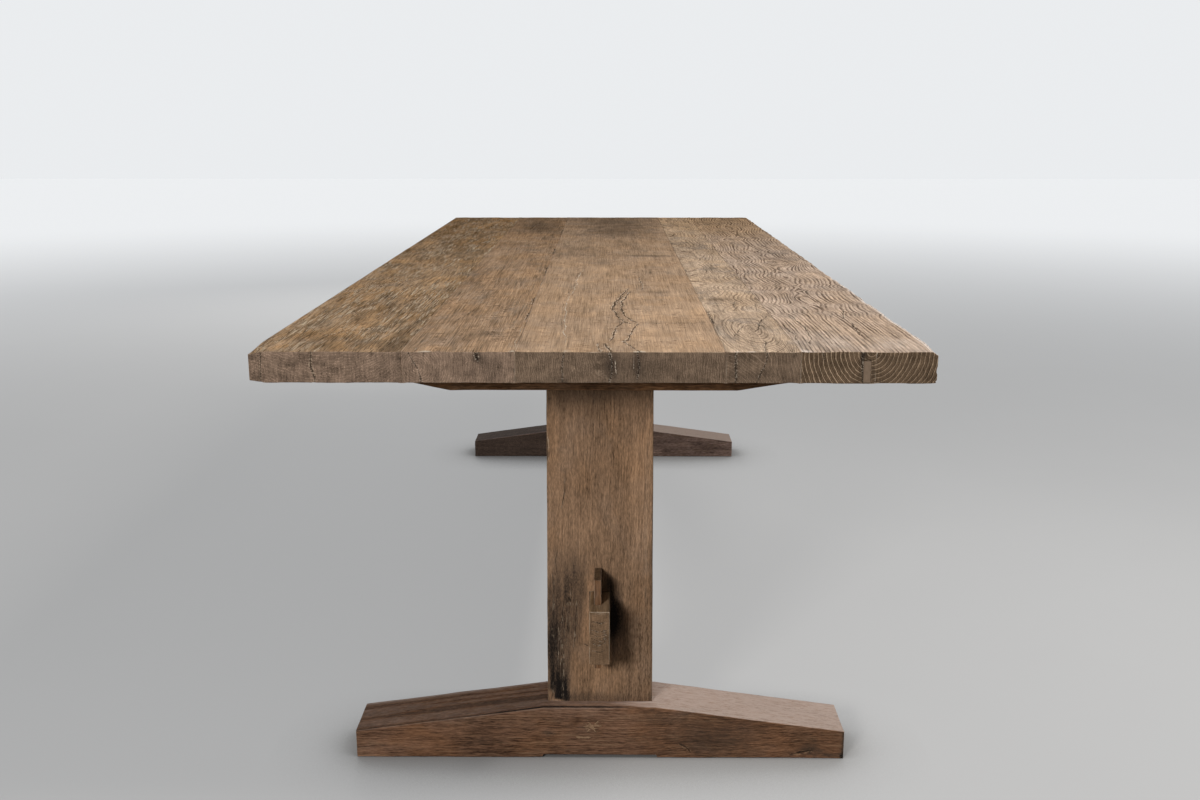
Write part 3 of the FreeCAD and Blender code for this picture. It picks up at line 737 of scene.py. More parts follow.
# How the two outer corners of the near end are rounded: reach, droop of the top and lift of the bottom.
LEFT_DROOP, RIGHT_DROOP = (24.0, 3.4, 3.0), (9.0, 5.0, 1.0)
OUTSIDE_RADIUS, LARGEST_RADIUS = 1.6, 14
# How wide the strips at the table's sides are, in which upright arrises get the corners' radius.
OUTER_STRIP = 20
# The slot that the slip of wood fills, in X, Y and Z.
FILLED_SLOT = ((392.6, 403.4), (-1210, -1049.4), (710, 756.4))
# Between which distances from the middle of the slip the wear sets in.
BESIDE_SLIP = (7, 18)
JOINT_OVERREACH = 0.38
# How far the cracks waver on the top and on the near end.
TOP_SWAY, END_SWAY = 5.0, 3.0
# Between which distances from the table's middle a plank's wear, its droop and its ragged edge set in,
# and where the far end's warm tone does.
WORN_END, DROOPED_END, RAGGED_END = (1150, 1198), (1120, 1195), (1130, 1195)
FAR_HALF = (0, 1100)
# How dark the dirt is at the left side, in the joints from left to right and at the right side.
JOINT_DIRT = (0, 0.3, 0.4, 0.22, 0.08, 0)
THIN_END, THIN_SIDE, THINNER = (1020, 1060), (-110, 40), 3.0
RIGHT_EDGE = ((-1200, 0), (-1175, 1), (-1140, 0), (-1030, 0), (-977, 1), (-938, 3), (-897, 4), (-855, 0),
    (-800, 0), (-760, 2), (-717, 3), (-660, 0), (-480, 0), (-377, 1), (-240, 2), (-150, 0), (1200, 0))


def plank_edge_radius(place, low, high, number, seed):
    """How far the arrises of a plank are worn at each point."""
    across, along, through = place.T
    wander = noise(place[:, [Y]], (70,), seed, 3)
    joint = JOINT_RADIUS + 1.4 * smooth(wander, 0.2, 0.6)
    left, right, outside = joint, joint, False
    if number == 1:
        near = smooth(along, low[Y] + 160, low[Y] + 20)
        left = OUTSIDE_RADIUS + (LEFT_CORNER_RADIUS - OUTSIDE_RADIUS) * near + 0.8 * wander
        outside = across < low[X] + OUTER_STRIP
    if number == 5:
        waned = smooth(noise(place[:, [Y]], (30,), seed + 3, 3), -0.4, 0.5)
        right = WANE_RADII[0] + (WANE_RADII[1] - WANE_RADII[0]) * waned
        outside = across > high[X] - OUTER_STRIP
    inset = 0.3 * (high[X] - low[X])
    share = smooth(across, low[X] + inset, high[X] - inset)
    sides = left * (1 - share) + right * share
    from_end = np.minimum(along - low[Y], high[Y] - along)
    from_side = np.minimum(across - low[X], high[X] - across)
    ends = 2.0 + 1.5 * noise(place[:, [X]], (36,), seed + 9, 3)
    at_end = smooth(from_side - from_end, -2, 10)
    upright = np.minimum(through - low[Z], high[Z] - through) > CORNER_RADIUS
    corner = np.where(outside, CORNER_RADIUS, JOINT_RADIUS)
    level = np.clip(sides * (1 - at_end) + ends * at_end, JOINT_RADIUS, LARGEST_RADIUS)
    return np.where(upright, corner, level)


def joint_line(place, low, high, number, seed):
    """How dark the dirt in the joints beside a plank is."""
    left = smooth(place[:, X] - low[X], 2.2, 0.8) * JOINT_DIRT[number - 1]
    right = smooth(high[X] - place[:, X], 2.2, 0.8) * JOINT_DIRT[number]
    return (left + right) * smooth(noise(place[:, [Y]], (90,), seed + 47, 3), -0.3, 0.4)


def in_filled_slot(*place):
    """Whether a place lies in the slot that a slip of wood fills."""
    return np.logical_and.reduce([within(value, span) for value, span in zip(place, FILLED_SLOT)])


def plank_depth(points, normals, ring, number, seed):
    """How many mm the skin of a plank is worn, apart from its cracks."""
    fibre, spacing = PLANKS[number]["fibre"], PLANKS[number]["spacing"]
    flat, end_place, across = points[:, :2], points[:, [X, Z]], points[:, [X]]
    upward, near_end = facing(normals, Z), facing(normals, Y, -1)
    at_end = smooth(-points[:, Y], *WORN_END)
    surface = bumps(flat, 0.45, (75, 300), seed + 40) + bumps(flat, fibre * 0.5, (5, 34), seed + 41, 3)
    surface = surface + at_end * bumps(across, 0.9, (44,), seed + 44, 3)
    groove = 0.16 * spacing * fibre * (1 - smooth(np.abs((ring % 1) - 0.2), 0.0, 0.3))
    below = at_end * bumps(across, 0.9, (26,), seed + 45, 3)
    if number == 5:
        below = below * smooth(np.abs(points[:, X] - np.mean(FILLED_SLOT[X])), *BESIDE_SLIP)
    if number == 3:
        below = below + smooth(-points[:, Y], *THIN_END) * THINNER * (1 - smooth(points[:, X], *THIN_SIDE))
    rough = (1 - np.maximum(upward, near_end)) * bumps(points, 0.18, (18, 60, 18), seed + 43)
    sawn = near_end * bumps(end_place, 0.25, (7, 5), seed + 42, 3)
    return upward * (surface + groove) + sawn + rough + below * facing(normals, Z, -1)


def make_plank(number, wood, seed):
    node, shape = f"top_board_{number}", PLANKS[number]
    low, high = box_mm(node)
    low[X] -= JOINT_OVERREACH * (number != 1)
    high[X] += JOINT_OVERREACH * (number != 5)
    planes, hollow = NOWHERE, None
    if number == 5:
        planes = [[f for f in slot if a < f < b] for slot, a, b in zip(FILLED_SLOT, low, high)]
        hollow = in_filled_slot
    steps = (shape["step"], LENGTHWISE, THROUGH_STEP)
    fine = (shape.get("fine", ()), [(low[Y], low[Y] + NEAR_END, NEAR_END_STEP)], ())

    def radius(place):
        return plank_edge_radius(place, low, high, number, seed)

    points, faces = block(low, high, steps, radius, fine, planes, hollow)
    normals = normals_of(points, faces)
    upward, near_end = facing(normals, Z), facing(normals, Y, -1)
    tree = (shape[k] for k in ("pith", "lean", "spacing", "wander"))
    ring = growth_ring(points, *tree, seed, shape["knots"], shape.get("figure"), shape.get("oval"))
    flat, end_place = points[:, :2], points[:, [X, Z]]
    *crack, deep = cracks_at(flat, shape["cracks"], TOP_SWAY, seed + 20)
    *end_crack, end_deep = cracks_at(end_place, shape["end_cracks"], END_SWAY, seed + 30)
    beside_crack, half_width = np.where(near_end > upward, (end_crack[0], end_crack[1] * near_end),
                                        (crack[0], crack[1] * upward))
    depth = plank_depth(points, normals, ring, number, seed)
    points = points - normals * (depth + upward * deep + near_end * end_deep)[:, None]
    if number == 1:
        points = droop_corner(points, low, high, low[X], *LEFT_DROOP)
    if number == 5:
        points = droop_corner(points, low, high, high[X], *RIGHT_DROOP)
        points = shape_right_edge(points, high)
    tone = stains_and_shade_at(flat, shape["stains_and_shade"], seed + 50) * upward
    tone = tone + stains_and_shade_at(end_place, shape["end_stains"], seed + 60, (9, 14)) * near_end
    if number == 5:
        rim = smooth(flat[:, X], high[X] - WANE_RIM, high[X] - 1.0) * smooth(normals[:, Z], 0.0, 0.3)
        uneven = 0.8 + 0.5 * noise(points[:, [Y]], (30,), seed + 46)
        tone = tone + WANE_TONE * rim * uneven * smooth(-flat[:, Y], -100, 800)
    tone = tone - upward * joint_line(points, low, high, number, seed)
    far = smooth(points[:, Y], *FAR_HALF)
    numbers = wood_numbers(normals, Y, ring, (beside_crack, half_width), tone, far)
    make_piece(f"plank_{number}", points, faces, wood, numbers, node)


def droop_corner(points, low, high, side, reach, droop, lift):
    """Rounds the near end's corner at that side, seen from the end."""
    share = share_along(points, low, high, Z)
    near = smooth(-points[:, Y], *DROOPED_END) * smooth(np.abs(points[:, X] - side), reach, 0)
    moved = points.copy()
    moved[:, Z] += near * (lift * (1 - share) - droop * share)
    return moved


def shape_right_edge(points, high):
    """The last plank keeps the tree's own edge: it dips in and out along its length, in scallops."""
    along, through = points[:, [Y]], points[:, [Z]]
    places, dips = zip(*RIGHT_EDGE)
    near_end = smooth(-along.ravel(), *RAGGED_END)
    dip = np.interp(along.ravel(), places, dips) + bumps(along, 0.6, (40,), 77, 3) * (1 - near_end)
    ragged = near_end * 2.4 * smooth(noise(through, (4.4,), 78), 0.05, 0.4)
    share = smooth(points[:, X], high[X] - 70, high[X])
    moved = points.copy()
    moved[:, X] -= share * (dip + ragged)
    return moved


# ---- The trestles ----


def reordered(points, along):
    """(across, along, through) the grain."""
    return points[:, {X: (Y, X, Z), Y: (X, Y, Z), Z: (X, Z, Y)}[along]]


def finish_piece(names, wood, skinned, along, tree, depth, crack=NO_CRACK, tone=0, body=RIDES_ON):
    """Sinks a block's skin by its depth in mm and makes the piece. names are the piece's and its CAD
    node's, wood is (material, slot), skinned is (points, faces, normals) and tree is what growth_ring
    takes after the place."""
    points, faces, normals = skinned
    ring = growth_ring(reordered(points, along), *tree)
    numbers = wood_numbers(normals, along, ring, crack, tone)
    points = points - normals * depth[:, None]
    make_piece(names[0], points, faces, wood, numbers, names[1], body)


def thickness(points, low, high, flat, at_end):
    """That of a piece which is flat in its middle and thins towards both ends."""
    half, full = (high[X] - low[X]) / 2, high[Z] - low[Z]
    from_middle = np.abs(points[:, X] - (low[X] + high[X]) / 2)
    return full - (full - at_end) * np.clip((from_middle - flat) / (half - flat), 0, 1)


def marks(points, shown, cracks, sway, stains_and_shade, seed, feature=(30, 40)):
    """The crack, depth and tone that cracks, stains and painted shade on an upright face give each point.
    """
    face = points[:, [X, Z]]
    beside_crack, half_width, deep = cracks_at(face, cracks, sway, seed + 20)
    tone = stains_and_shade_at(face, stains_and_shade, seed + 50, feature) * shown
    return (beside_crack, half_width * shown), deep * shown, tone


# How far apart the planes that cut each piece lie, in X, Y and Z.
FOOT_STEPS, BEARER_STEPS, POST_STEPS = (3.4, 3.6, 3.6), (5.0, 4.5, 4.5), (3.0, 4.0, 3.4)
BEAM_STEPS, TENON_STEPS, WEDGE_STEPS = (4.5, 8.0, 4.5), (1.7, 2.6, 1.9), (1.5, 2.2, 2.4)
OUTWARD = {"front": -1, "rear": 1}
MEAN_WEAR = 0.8
FOOT_END_HEIGHT = 52.0
FOOT_FLAT = 98.0
RELIEF_HALF, RELIEF_DEPTH = 100.0, 5.0
# How pale the right of a foot's top turns, front and rear: partly dust, partly painted light.
FOOT_DUST_AND_LIGHT, FAR_DUST_AND_LIGHT = 0.8, 1.0
FOOT_KNOTS = ((-1000, 372, 16, 12), (-1000, -80, 12, 5), (-1000, 160, 12, 6))
FOOT_CRACKS = ((1.6, 3, 148, 28, 160, 21, 170, 11), (1.6, 3, 342, 6, 356, 9, 386, 15),
    (0.8, 1, -92, 50, -72, 44), (-2.0, 0, -22, 61, 14, 62), (-1.9, 0, -14, 74, 4, 49),
    (-1.9, 0, -14, 50, 7, 73), (-2.0, 0, -34, 41, -5, 39))
FOOT_STAINS = ((378, 18, 26, 14, -0.55), (182, 14, 4, 8, -0.1), (108, 80, 34, 14, -0.34),
    (-80, 48, 14, 8, -0.45), (-200, 30, 40, 16, -0.24), (215, 40, 110, 40, -0.44), (342, 36, 28, 17, 0.25),
    (437, 30, 4, 60, -0.6), (-300, 20, 90, 10, 0.12), (-10, 56, 30, 16, 0.16), (-150, 62, 60, 14, 0.12),
    (-380, 26, 50, 30, 0.08), (420, 6, 30, 6, -0.5))


def make_foot(side, wood, seed):
    low, high = box_mm(f"{side}_foot")
    middle = (low[X] + high[X]) / 2
    low[X] -= MEAN_WEAR
    high[X] += MEAN_WEAR
    notches = [(middle + s * RELIEF_HALF - 3, middle + s * RELIEF_HALF + 3, 1.0) for s in (-1, 1)]
    radius = wavy(2.2, 1.2, X, 60, (0.8, 5), seed)
    points, faces = block(low, high, FOOT_STEPS, radius, (notches, (), ()))
    top = thickness(points, low, high, FOOT_FLAT, FOOT_END_HEIGHT)
    share = share_along(points, low, high, Z)
    lifted = RELIEF_DEPTH * smooth(np.abs(points[:, X] - middle), RELIEF_HALF + 1.5, RELIEF_HALF - 1.5)
    points[:, Z] = low[Z] + lifted * (1 - share) + share * top
    normals = normals_of(points, faces)
    upward, front = facing(normals, Z), facing(normals, Y, -1) * (side == "front")
    crack, deep, tone = marks(points, front, FOOT_CRACKS, 2.0, FOOT_STAINS, seed, (9, 7))
    depth = bumps(points, 0.5, (60, 40, 40), seed + 41) + bumps(points, 0.28, (34, 6, 5), seed + 42, 3)
    depth = depth + deep
    plan = (points - normals * depth[:, None])[:, :2]
    across, from_front = plan[:, X], plan[:, Y] - low[Y]
    if side == "front":
        dark_arris = smooth(from_front, 8, 3) * 0.8 - smooth(from_front, 91, 95) * 0.3
        streaks = 0.7 * smooth(noise(plan, (420, 9), seed + 52), -0.05, 0.35)
        # The right of the top turns pale pinkish: partly dust, partly painted light where the lamp falls.
        dust_and_light_share = smooth(across, 15, 105)
        pinkish = FOOT_DUST_AND_LIGHT + 0.06 * noise(plan, (90, 14), seed + 53, 3)
        rim = 0.5 * dust_and_light_share * smooth(from_front, 3, 1)
        tone = tone + upward * (dust_and_light_share * pinkish + (1 - dust_and_light_share) * (0.28 - streaks - dark_arris) - rim)
        tone = tone + 0.3 * front * smooth(share, 0.93, 0.98) * (1 - dust_and_light_share)
    else:
        # The rear foot is darkened on its left as painted shade from the table top, less along its top's
        # front
        # arris, and the right of its top turns pale, partly dust and partly painted light.
        dust_and_light_share = smooth(across, 60, 110)
        arris = smooth(from_front, 14, 4)
        tone = tone - (1 - dust_and_light_share) * (0.55 - 0.6 * arris * upward) + dust_and_light_share * upward * FAR_DUST_AND_LIGHT
    tree = ((-1300, -200), (0.03, 0.02), 3.4, 14, seed, FOOT_KNOTS)
    finish_piece((f"{side}_sled_foot", f"{side}_foot"), wood, (points, faces, normals), X, tree, depth,
                 crack, tone)


BEARER_END_HEIGHT = 20.0
BEARER_FLAT = 245.0
RIGHT_FLAT, RIGHT_END_HEIGHT = 226.0, 26.0


def make_bearer(side, wood, seed):
    low, high = box_mm(f"{side}_bearer")
    points, faces = block(low, high, BEARER_STEPS, wavy(1.8, 1.0, X, 60, (0.8, 4), seed))
    right = (points[:, X] > (low[X] + high[X]) / 2) & (side == "front")
    flat = np.where(right, RIGHT_FLAT, BEARER_FLAT)
    end_height = np.where(right, RIGHT_END_HEIGHT, BEARER_END_HEIGHT)
    thick = thickness(points, low, high, flat, end_height)
    points[:, Z] = high[Z] - (1 - share_along(points, low, high, Z)) * thick
    normals = normals_of(points, faces)
    depth = bumps(points, 0.4, (60, 40, 40), seed + 41) + bumps(points, 0.25, (34, 6, 5), seed + 42, 3)
    depth = depth * (1 - facing(normals, Z))
    tree = ((-1060, 640), (0.02, 0.01), 4.2, 12, seed)
    finish_piece((f"{side}_top_bearer", f"{side}_bearer"), wood, (points, faces, normals), X, tree, depth)


# The stretcher's tenons, and the wedges in them.
TENON_WIDTH, TENON_HEIGHT, TENON_BOTTOM, TENON_GAP = 34.5, 95.0, 209.0, 0.9
SHOULDER = 923.0
WEDGE_TOP_WIDTH, WEDGE_BOTTOM_WIDTH = 57.0, 48.0
WEDGE_SIDE_FIT, WEDGE_FACE_FIT = 0.35, 0.25
WEDGE_DRAW = 6.0

stretcher_low, stretcher_high = box_mm("stretcher")
stretcher_middle = (stretcher_low[X] + stretcher_high[X]) / 2
TENON_LOW = np.array([stretcher_middle - TENON_WIDTH / 2, SHOULDER, TENON_BOTTOM])
TENON_HIGH = np.array([TENON_LOW[X] + TENON_WIDTH, stretcher_high[Y], TENON_BOTTOM + TENON_HEIGHT])

POST_FOOT_WIDTH, POST_TOP_WIDTH = 184.0, 178.0
POST_EMBEDDED = 2.0
POST_CRACKS = ((0.6, 1.2, -49, 530, -52, 490, -56, 450), (0.6, 1, -62, 420, -66, 330),
    (0.9, 1.5, -19, 207, -10, 202), (1.8, 3, -84, 595, -79, 565, -84, 530),
    (0.6, 2, -76, 160, -73, 120, -76, 92), (0.8, 1, -60, 250, -64, 170), (0.6, 1, 86, 640, 87, 628),
    (1.2, 2, -58, 185, -55, 96), (0.7, 1, -74, 350, -70, 280, -74, 200),
    (0.7, 1, -52, 300, -57, 235, -53, 160), (0.6, 1, -45, 300, -49, 200), (0.6, 1, -40, 330, -44, 215),
    (0.6, 1, -30, 300, -36, 190))
# (0, 656) and (-20, 600) the shade under the table top, the line at (100, 400) the shaded right arris
# Painted shade: the patches at (33, 262), (24, 320) and (42, 246) are the tenon's cast shadow, those at
# Stains and painted shade on the post's front face, each (across, up, half width, half height, strength).
# and the band at (0, 103) the shade where the post meets its foot.
POST_STAINS_AND_SHADE = ((-66, 120, 17, 34, -0.6), (-76, 190, 10, 60, -0.45), (-34, 345, 22, 46, -0.3),
    (33, 262, 9, 50, -0.8), (24, 320, 8, 22, -0.6), (42, 246, 16, 46, -0.55), (-30, 270, 24, 80, -0.26),
    (-76, 108, 5, 10, 1.0), (-66, 98, 10, 3, 1.2), (-62, 240, 32, 130, -0.52), (-84, 560, 5, 40, -0.4),
    (100, 400, 3, 400, -0.6), (88, 400, 7, 240, 0.18), (0, 103, 110, 14, -0.45), (0, 656, 120, 22, -0.36),
    (-20, 600, 60, 50, -0.2), (-53, 130, 9, 50, -0.3))


def make_post(side, wood, seed):
    low, high = box_mm(f"{side}_post")
    low[Z] = box_mm(f"{side}_foot")[1][Z] - POST_EMBEDDED
    high[Z] = box_mm(f"{side}_bearer")[0][Z] + POST_EMBEDDED
    low[X] -= MEAN_WEAR
    high[X] += MEAN_WEAR
    mouth_x, mouth_z = ((TENON_LOW[a] - TENON_GAP, TENON_HIGH[a] + TENON_GAP) for a in (X, Z))
    moats = [[(first - 2, first + TENON_GAP + 0.5, 0.45), (last - TENON_GAP - 0.5, last + 2, 0.45)]
             for first, last in (mouth_x, mouth_z)]

    def hollow(x, y, z):
        return within(x, mouth_x) & within(z, mouth_z)

    radius = wavy(1.8, 1.4, Z, 70, (0.8, 5), seed)
    fine, planes = (moats[0], (), moats[1]), (mouth_x, (), mouth_z)
    points, faces = block(low, high, POST_STEPS, radius, fine, planes, hollow)
    middle = (low[X] + high[X]) / 2
    away = points[:, X] - middle
    narrower = 1 - POST_TOP_WIDTH / POST_FOOT_WIDTH
    taper = narrower * share_along(points, low, high, Z) * smooth(np.abs(away), 30, 80)
    points[:, X] = middle + away * (1 - taper)
    normals = normals_of(points, faces)
    front = facing(normals, Y, -1) * (side == "front")
    crack, deep, tone = marks(points, front, POST_CRACKS, 3.0, POST_STAINS_AND_SHADE, seed, (5, 60))
    depth = bumps(points, 0.35, (50, 40, 160), seed + 41) + bumps(points, 0.3, (5, 5, 45), seed + 42, 3)
    depth = depth * (1 + 1.2 * smooth(points[:, X], -30, -75)) + deep
    depth = depth * ~hollow(*(points + normals).T)
    tree = ((-150, -870), (0.06, -0.02), 4.6, 14, seed)
    finish_piece((f"{side}_slab_post", f"{side}_post"), wood, (points, faces, normals), Z, tree, depth,
                 crack, tone)


def make_stretcher(wood, seed):
    """The beam between the posts."""
    low, high = stretcher_low.copy(), stretcher_high.copy()
    low[Y], high[Y] = -SHOULDER, SHOULDER
    points, faces = block(low, high, BEAM_STEPS, wavy(2.4, 1.2, Y, 80, (0.8, 5), seed))
    normals = normals_of(points, faces)
    depth = bumps(points, 0.4, (40, 160, 40), seed + 41) + bumps(points, 0.3, (6, 50, 6), seed + 42, 3)
    depth = depth * (1 - facing(np.abs(normals), Y))
    tree = ((90, 230), (0.01, 0.01), 4.4, 14, seed)
    finish_piece(("stretcher_beam", "stretcher"), wood, (points, faces, normals), Y, tree, depth)


def turned_box(node):
    """The box of a piece at either end of the table, as if it were at the rear."""
    low, high = box_mm(node)
    low[Y], high[Y] = sorted((abs(low[Y]), abs(high[Y])))
    return low, high


def turn(points, faces, side):
    """Turns a piece that is made for the rear to its own end. Gives its faces and their normals."""
    points[:, Y] *= OUTWARD[side]
    faces = faces[:, ::OUTWARD[side]]
    return faces, normals_of(points, faces)


SCRATCHES = ((0.6, 0.8, -8, 273, 6, 267, 24, 272), (0.6, 0.8, -8, 266, 6, 259, 24, 265),
    (0.6, 0.8, -8, 258, 8, 251, 24, 257), (0.5, 0.7, -8, 250, 6, 244, 22, 250),
    (0.5, 0.7, -6, 287, 10, 283, 24, 288), (0.5, 0.6, -8, 236, 10, 232, 24, 238))


def make_tenon(side, wood, seed):
    """The stretcher's tenon at one end, with a sloping mortise for its wedge."""
    wedge_low, wedge_high = turned_box(f"{side}_wedge")
    sides = (wedge_low[X] - WEDGE_SIDE_FIT, wedge_high[X] + WEDGE_SIDE_FIT)
    walls = (wedge_low[Y] - WEDGE_DRAW, wedge_low[Y] + WEDGE_TOP_WIDTH)

    def hollow(x, y, z):
        return within(x, sides) & within(y, walls)

    radius = wavy(1.6, 0.8, Z, 20, (0.6, 3), seed, 2)
    planes = (sides, walls, ())
    points, faces = block(TENON_LOW, TENON_HIGH, TENON_STEPS, radius, NOWHERE, planes, hollow)
    slope = (WEDGE_TOP_WIDTH - WEDGE_BOTTOM_WIDTH) / (wedge_high[Z] - wedge_low[Z])
    narrowing = slope * (wedge_high[Z] - points[:, Z]) - WEDGE_FACE_FIT
    tapered = (walls[0] + 1, walls[1], TENON_HIGH[Y])
    points[:, Y] -= narrowing * np.interp(points[:, Y], tapered, (0, 1, 0))
    faces, normals = turn(points, faces, side)
    end = facing(normals, Y, OUTWARD[side])
    crack, deep, tone = marks(points, end, SCRATCHES, 1.5, [(10, 301, 14, 2.5, 0.3)], seed)
    outer = (np.abs(points[:, X] - stretcher_middle) > TENON_WIDTH / 2 - 2) | (end > 0.5)
    depth = (bumps(points, 0.3, (12, 14, 12), seed + 41, 3) + deep) * outer
    tree = ((6, 330), (0.01, 0.0), 3.6, 7, seed)
    finish_piece((f"{side}_tenon", "stretcher"), wood, (points, faces, normals), Y, tree, depth,
                 crack, tone)


def make_wedge(side, wood, seed):
    node = f"{side}_wedge"
    low, high = turned_box(node)
    points, faces = block(low, high, WEDGE_STEPS, wavy(0.8, 0.4, Z, 20, (0.4, 1.6), seed, 2))
    fall, outward = 1 - share_along(points, low, high, Z), share_along(points, low, high, Y)
    points[:, Y] -= (WEDGE_TOP_WIDTH - WEDGE_BOTTOM_WIDTH) * fall * outward
    faces, normals = turn(points, faces, side)
    upward = facing(normals, Z)
    depth = bumps(points, 0.06, (5, 5, 40), seed + 42) + upward * bumps(points, 0.8, (6, 6, 6), seed + 41)
    tree = ((-30, -1010), (0.02, 0.0), 3.4, 8, seed)
    finish_piece((f"{side}_tusk_wedge", node), wood, (points, faces, normals), Z, tree, depth,
                 tone=-0.1 * upward, body=node)


# ---- Assembly ----

PINKISH_END = dict(end_light=(0.320, 0.223, 0.158), end_dark=(0.128, 0.086, 0.061))
BROWN_END = dict(end_light=(0.272, 0.192, 0.133), end_dark=(0.086, 0.057, 0.037))

PLANK_LOOKS = {
    1: ("rough_oak", dict(light=(0.362, 0.237, 0.137), dark=(0.080, 0.050, 0.029), lines=0.3, mottle=1.0,
        saw=0.5, flecks=1.0, grey=0.35, golden=0.6, amber=0.4, arcs=0.6, pale=(0.56, 0.44, 0.31),
        fibrous=1.6, **PINKISH_END)),
    2: ("plain_oak", dict(light=(0.362, 0.238, 0.148), dark=(0.11, 0.068, 0.041), lines=0.2, relief=0.12,
        mottle=0.75, saw=0.5, streaky=0.6, grey=0.25, golden=0.35, amber=0.2, fibrous=1.9, fibre=(1.8, 80),
        flecks=0.16, checks=0.6, wrinkles=0.8, rubbed=0.9, arcs=0.6, **PINKISH_END)),
    3: ("plain_oak", dict(light=(0.415, 0.282, 0.182), dark=(0.14, 0.088, 0.054), lines=0.2, relief=0.12,
        mottle=0.6, saw=0.4, streaky=0.5, grey=0.2, golden=0.25, checks=0.35, fibrous=1.3, fibre=(1.8, 90),
        flecks=0.07, wrinkles=0.6, rubbed=0.9, arcs=0.6, pale=(0.60, 0.49, 0.38), **BROWN_END)),
    4: ("figured_oak", dict(light=(0.475, 0.350, 0.246), dark=(0.14, 0.092, 0.062), lines=0.75, relief=0.8,
        mottle=0.7, streaky=0.8, grey=0.5, wobble=0.3, arcs=0.5, checks=0.4, fibrous=1.5, saw=0.35,
        amber=0.5, wrinkles=0.25, dust=(0.56, 0.47, 0.39), **BROWN_END)),
    5: ("pale_oak", dict(light=(0.480, 0.360, 0.272), dark=(0.12, 0.080, 0.056), lines=0.9, relief=1.0,
        mottle=0.6, streaky=0.9, arcs=1.1, grey=0.35, wobble=0.25, checks=0.4, fibrous=1.2, saw=0.35,
        amber=0.9, wrinkles=0.25, dust=(0.62, 0.53, 0.46), end_light=(0.35, 0.250, 0.165),
        end_dark=(0.070, 0.043, 0.025))),
}
for number, (slot, looks) in PLANK_LOOKS.items():
    make_plank(number, (oak(f"oak_plank_{number}", Y, **looks), slot), 100 * number)

post_oak = oak("oak_post", Z, (0.233, 0.142, 0.084), (0.080, 0.048, 0.029), **BROWN_END, lines=0.3,
               relief=0.2, mottle=0.8, saw=0.05, streaky=0.8, streak=2.2, fibrous=2.0, fibre=(1.4, 8),
               grey=0.08, specular=0.05, pale=(0.40, 0.31, 0.22))
tenon_oak = oak("oak_tenon", Y, (0.27, 0.175, 0.098), (0.11, 0.068, 0.038), (0.22, 0.138, 0.080),
                (0.12, 0.072, 0.042), lines=0.4, relief=0.2, streak=2.8, specular=0.05)
FOOT_LOOKS = dict(lines=0.35, relief=0.3, mottle=0.9, saw=0.05, streaky=1.0, streak=2.4, fibrous=2.4,
    fibre=(1.6, 13), flecks=0.3, golden=0.55, grey=0.08, rubbed=0.2, pale=(0.27, 0.17, 0.10),
    dust=(0.385, 0.297, 0.248), specular=0.05)
foot_oak = oak("oak_foot", X, (0.158, 0.084, 0.050), (0.043, 0.022, 0.014), **BROWN_END, **FOOT_LOOKS)
bearer_oak = oak("oak_bearer", X, (0.205, 0.110, 0.056), (0.060, 0.031, 0.018), **BROWN_END, **FOOT_LOOKS)
# The rear foot's colours are paler than the front foot's, partly as painted light.
rear_foot_oak = oak("oak_rear_foot", X, (0.212, 0.140, 0.112), (0.050, 0.034, 0.028), **BROWN_END,
                    **{**FOOT_LOOKS, "golden": 0.0})
wedge_oak = oak("oak_wedge", Z, (0.172, 0.091, 0.047), (0.07, 0.037, 0.021), (0.15, 0.092, 0.050),
                (0.08, 0.05, 0.029), lines=0.6, relief=0.15, streaky=1.2, streak=2.0, specular=0.05)
for side, seed, dark_oak in (("front", 1000, foot_oak), ("rear", 2000, rear_foot_oak)):
    make_foot(side, (dark_oak, "foot_oak"), seed)
    make_bearer(side, (bearer_oak, "foot_oak"), seed + 100)
    make_post(side, (post_oak, "trestle_oak"), seed + 200)
    make_tenon(side, (tenon_oak, "trestle_oak"), seed + 300)
    make_wedge(side, (wedge_oak, "wedge_oak"), seed + 400)
make_stretcher((post_oak, "trestle_oak"), 3000)

slip_oak = plain_oak("oak_slip", (0.26, 0.186, 0.130), (0.15, 0.105, 0.071))
tongue_oak = plain_oak("oak_tongue", (0.40, 0.28, 0.18), (0.22, 0.15, 0.09))
screw_steel = steel("screw_steel")
for label, cad_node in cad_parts.items():
    if cad_node.hide_render:
        continue
    finish = screw_steel if "screw" in label else slip_oak if label == "crack_filler" else tongue_oak
    for cad_slot in cad_node.material_slots:
        cad_slot.material = finish


# ---- Floor, light and camera ----

FLOOR_COLOURS = (0.185, 0.178, 0.169), (0.215, 0.207, 0.197)
FLOOR_SIZE = 40.0
FLOOR_FADE = (1500, 11000)
FLOOR_GLOW = 0.32
FAR_FLOOR_LIGHT = 0.04
SHADE_REACH = 0.16
AMBIENT = 0.06
PALE_LEVEL = 0.86
PALE_SKY = (0.96, 0.98, 1.0, 1.0)


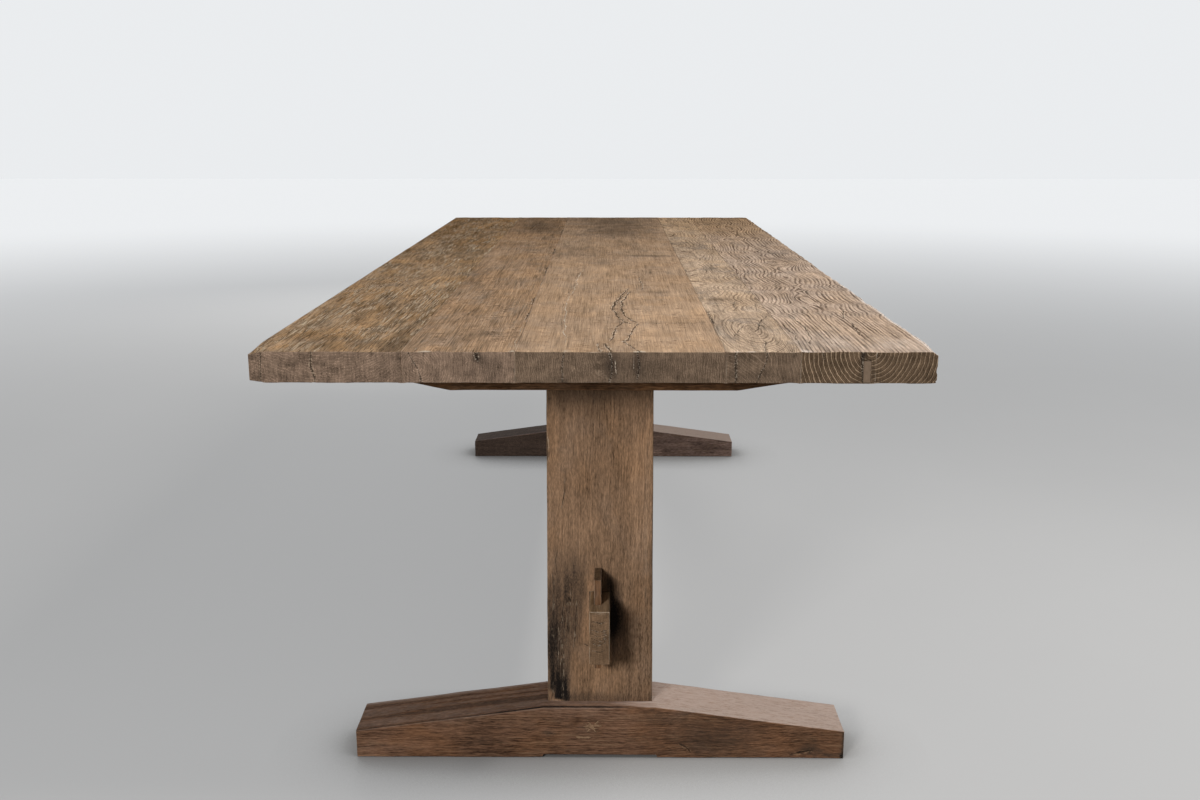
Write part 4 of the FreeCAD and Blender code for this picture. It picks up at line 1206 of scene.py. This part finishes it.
def make_floor():
    bpy.ops.mesh.primitive_plane_add(size=FLOOR_SIZE)
    floor = bpy.context.object
    floor.name = "studio_floor"
    tree = Tree("studio_floor")
    tree.lay(Y)
    clouds = tree.noise((900, 900, 900), 4, 0.55)
    colour = tree.mix(clouds, *FLOOR_COLOURS)
    reach = tree.node("VectorMath", operation="LENGTH")
    tree.put(reach.inputs[0], tree.place)
    fade = tree.step(Value(tree, reach.outputs["Value"]), *FLOOR_FADE)
    seen = Value(tree, tree.node("LightPath").outputs["Is Camera Ray"])
    # Near the table the floor's glow is dimmed by ambient occlusion: painted contact shade.
    open_air = tree.node("AmbientOcclusion", samples=4)
    open_air.inputs["Distance"].default_value = SHADE_REACH
    shaded = Value(tree, open_air.outputs["AO"])
    lit = seen * shaded * shaded * shaded
    glow = lit * (fade * (PALE_LEVEL - FAR_FLOOR_LIGHT - FLOOR_GLOW) + FLOOR_GLOW)
    floor.data.materials.append(tree.finish(colour, 0.8, clouds * 0.5, specular=0.1,
                                            Emission_Color=PALE_SKY, Emission_Strength=glow))


def make_world():
    """Pale for the camera and for clear reflections, and dim as a light."""
    tree = Tree("studio", "worlds")
    bpy.context.scene.world = tree.owner
    rays = tree.node("LightPath").outputs
    seen = Value(tree, rays["Is Camera Ray"])
    for ray in ("Is Glossy Ray", "Is Transmission Ray"):
        seen = tree.math("MAXIMUM", seen, Value(tree, rays[ray]))
    background = tree.node("Background")
    tree.put(background.inputs["Color"], PALE_SKY)
    tree.put(background.inputs["Strength"], seen * (PALE_LEVEL - AMBIENT) + AMBIENT)
    tree.links.new(background.outputs[0], tree.node("OutputWorld").inputs[0])


def put_up(thing, place):
    """Links a lamp or camera into the scene."""
    stand = bpy.data.objects.new(thing.name, thing)
    bpy.context.scene.collection.objects.link(stand)
    stand.location = place
    return stand


def make_lamp(name, place, target, size, power):
    lamp = bpy.data.lights.new(name, "AREA")
    lamp.shape, lamp.size, lamp.energy = "SQUARE", size, power
    aim = np.subtract(target, place)
    tilt, turning = math.acos(-aim[2] / np.linalg.norm(aim)), math.atan2(aim[1], aim[0]) - math.pi / 2
    put_up(lamp, place).rotation_euler = (tilt, 0, turning)


SENSOR_WIDTH, LENS = 36.0, 34.98
CAMERA_PLACE = (0.021, -2.8545, 1.0944)
CAMERA_TILT, CAMERA_TURN = 0.2353, 0.0062


def make_camera():
    camera = bpy.data.cameras.new("camera")
    camera.sensor_width, camera.lens = SENSOR_WIDTH, LENS
    stand = put_up(camera, CAMERA_PLACE)
    stand.rotation_euler = (math.pi / 2 - CAMERA_TILT, 0, CAMERA_TURN)
    bpy.context.scene.camera = stand


make_floor()
make_world()
make_lamp("window", (2.4, -1.1, 3.0), (0.0, -0.6, 0.7), 1.0, 118)
make_lamp("front_lamp", (-1.5, -4.0, 1.75), (0.0, -1.0, 0.45), 0.8, 106)
make_lamp("rear_lamp", (-1.4, 4.6, 2.0), (0.0, 1.0, 0.5), 1.5, 52)
make_camera()
bpy.context.scene.view_settings.view_transform = "Standard"
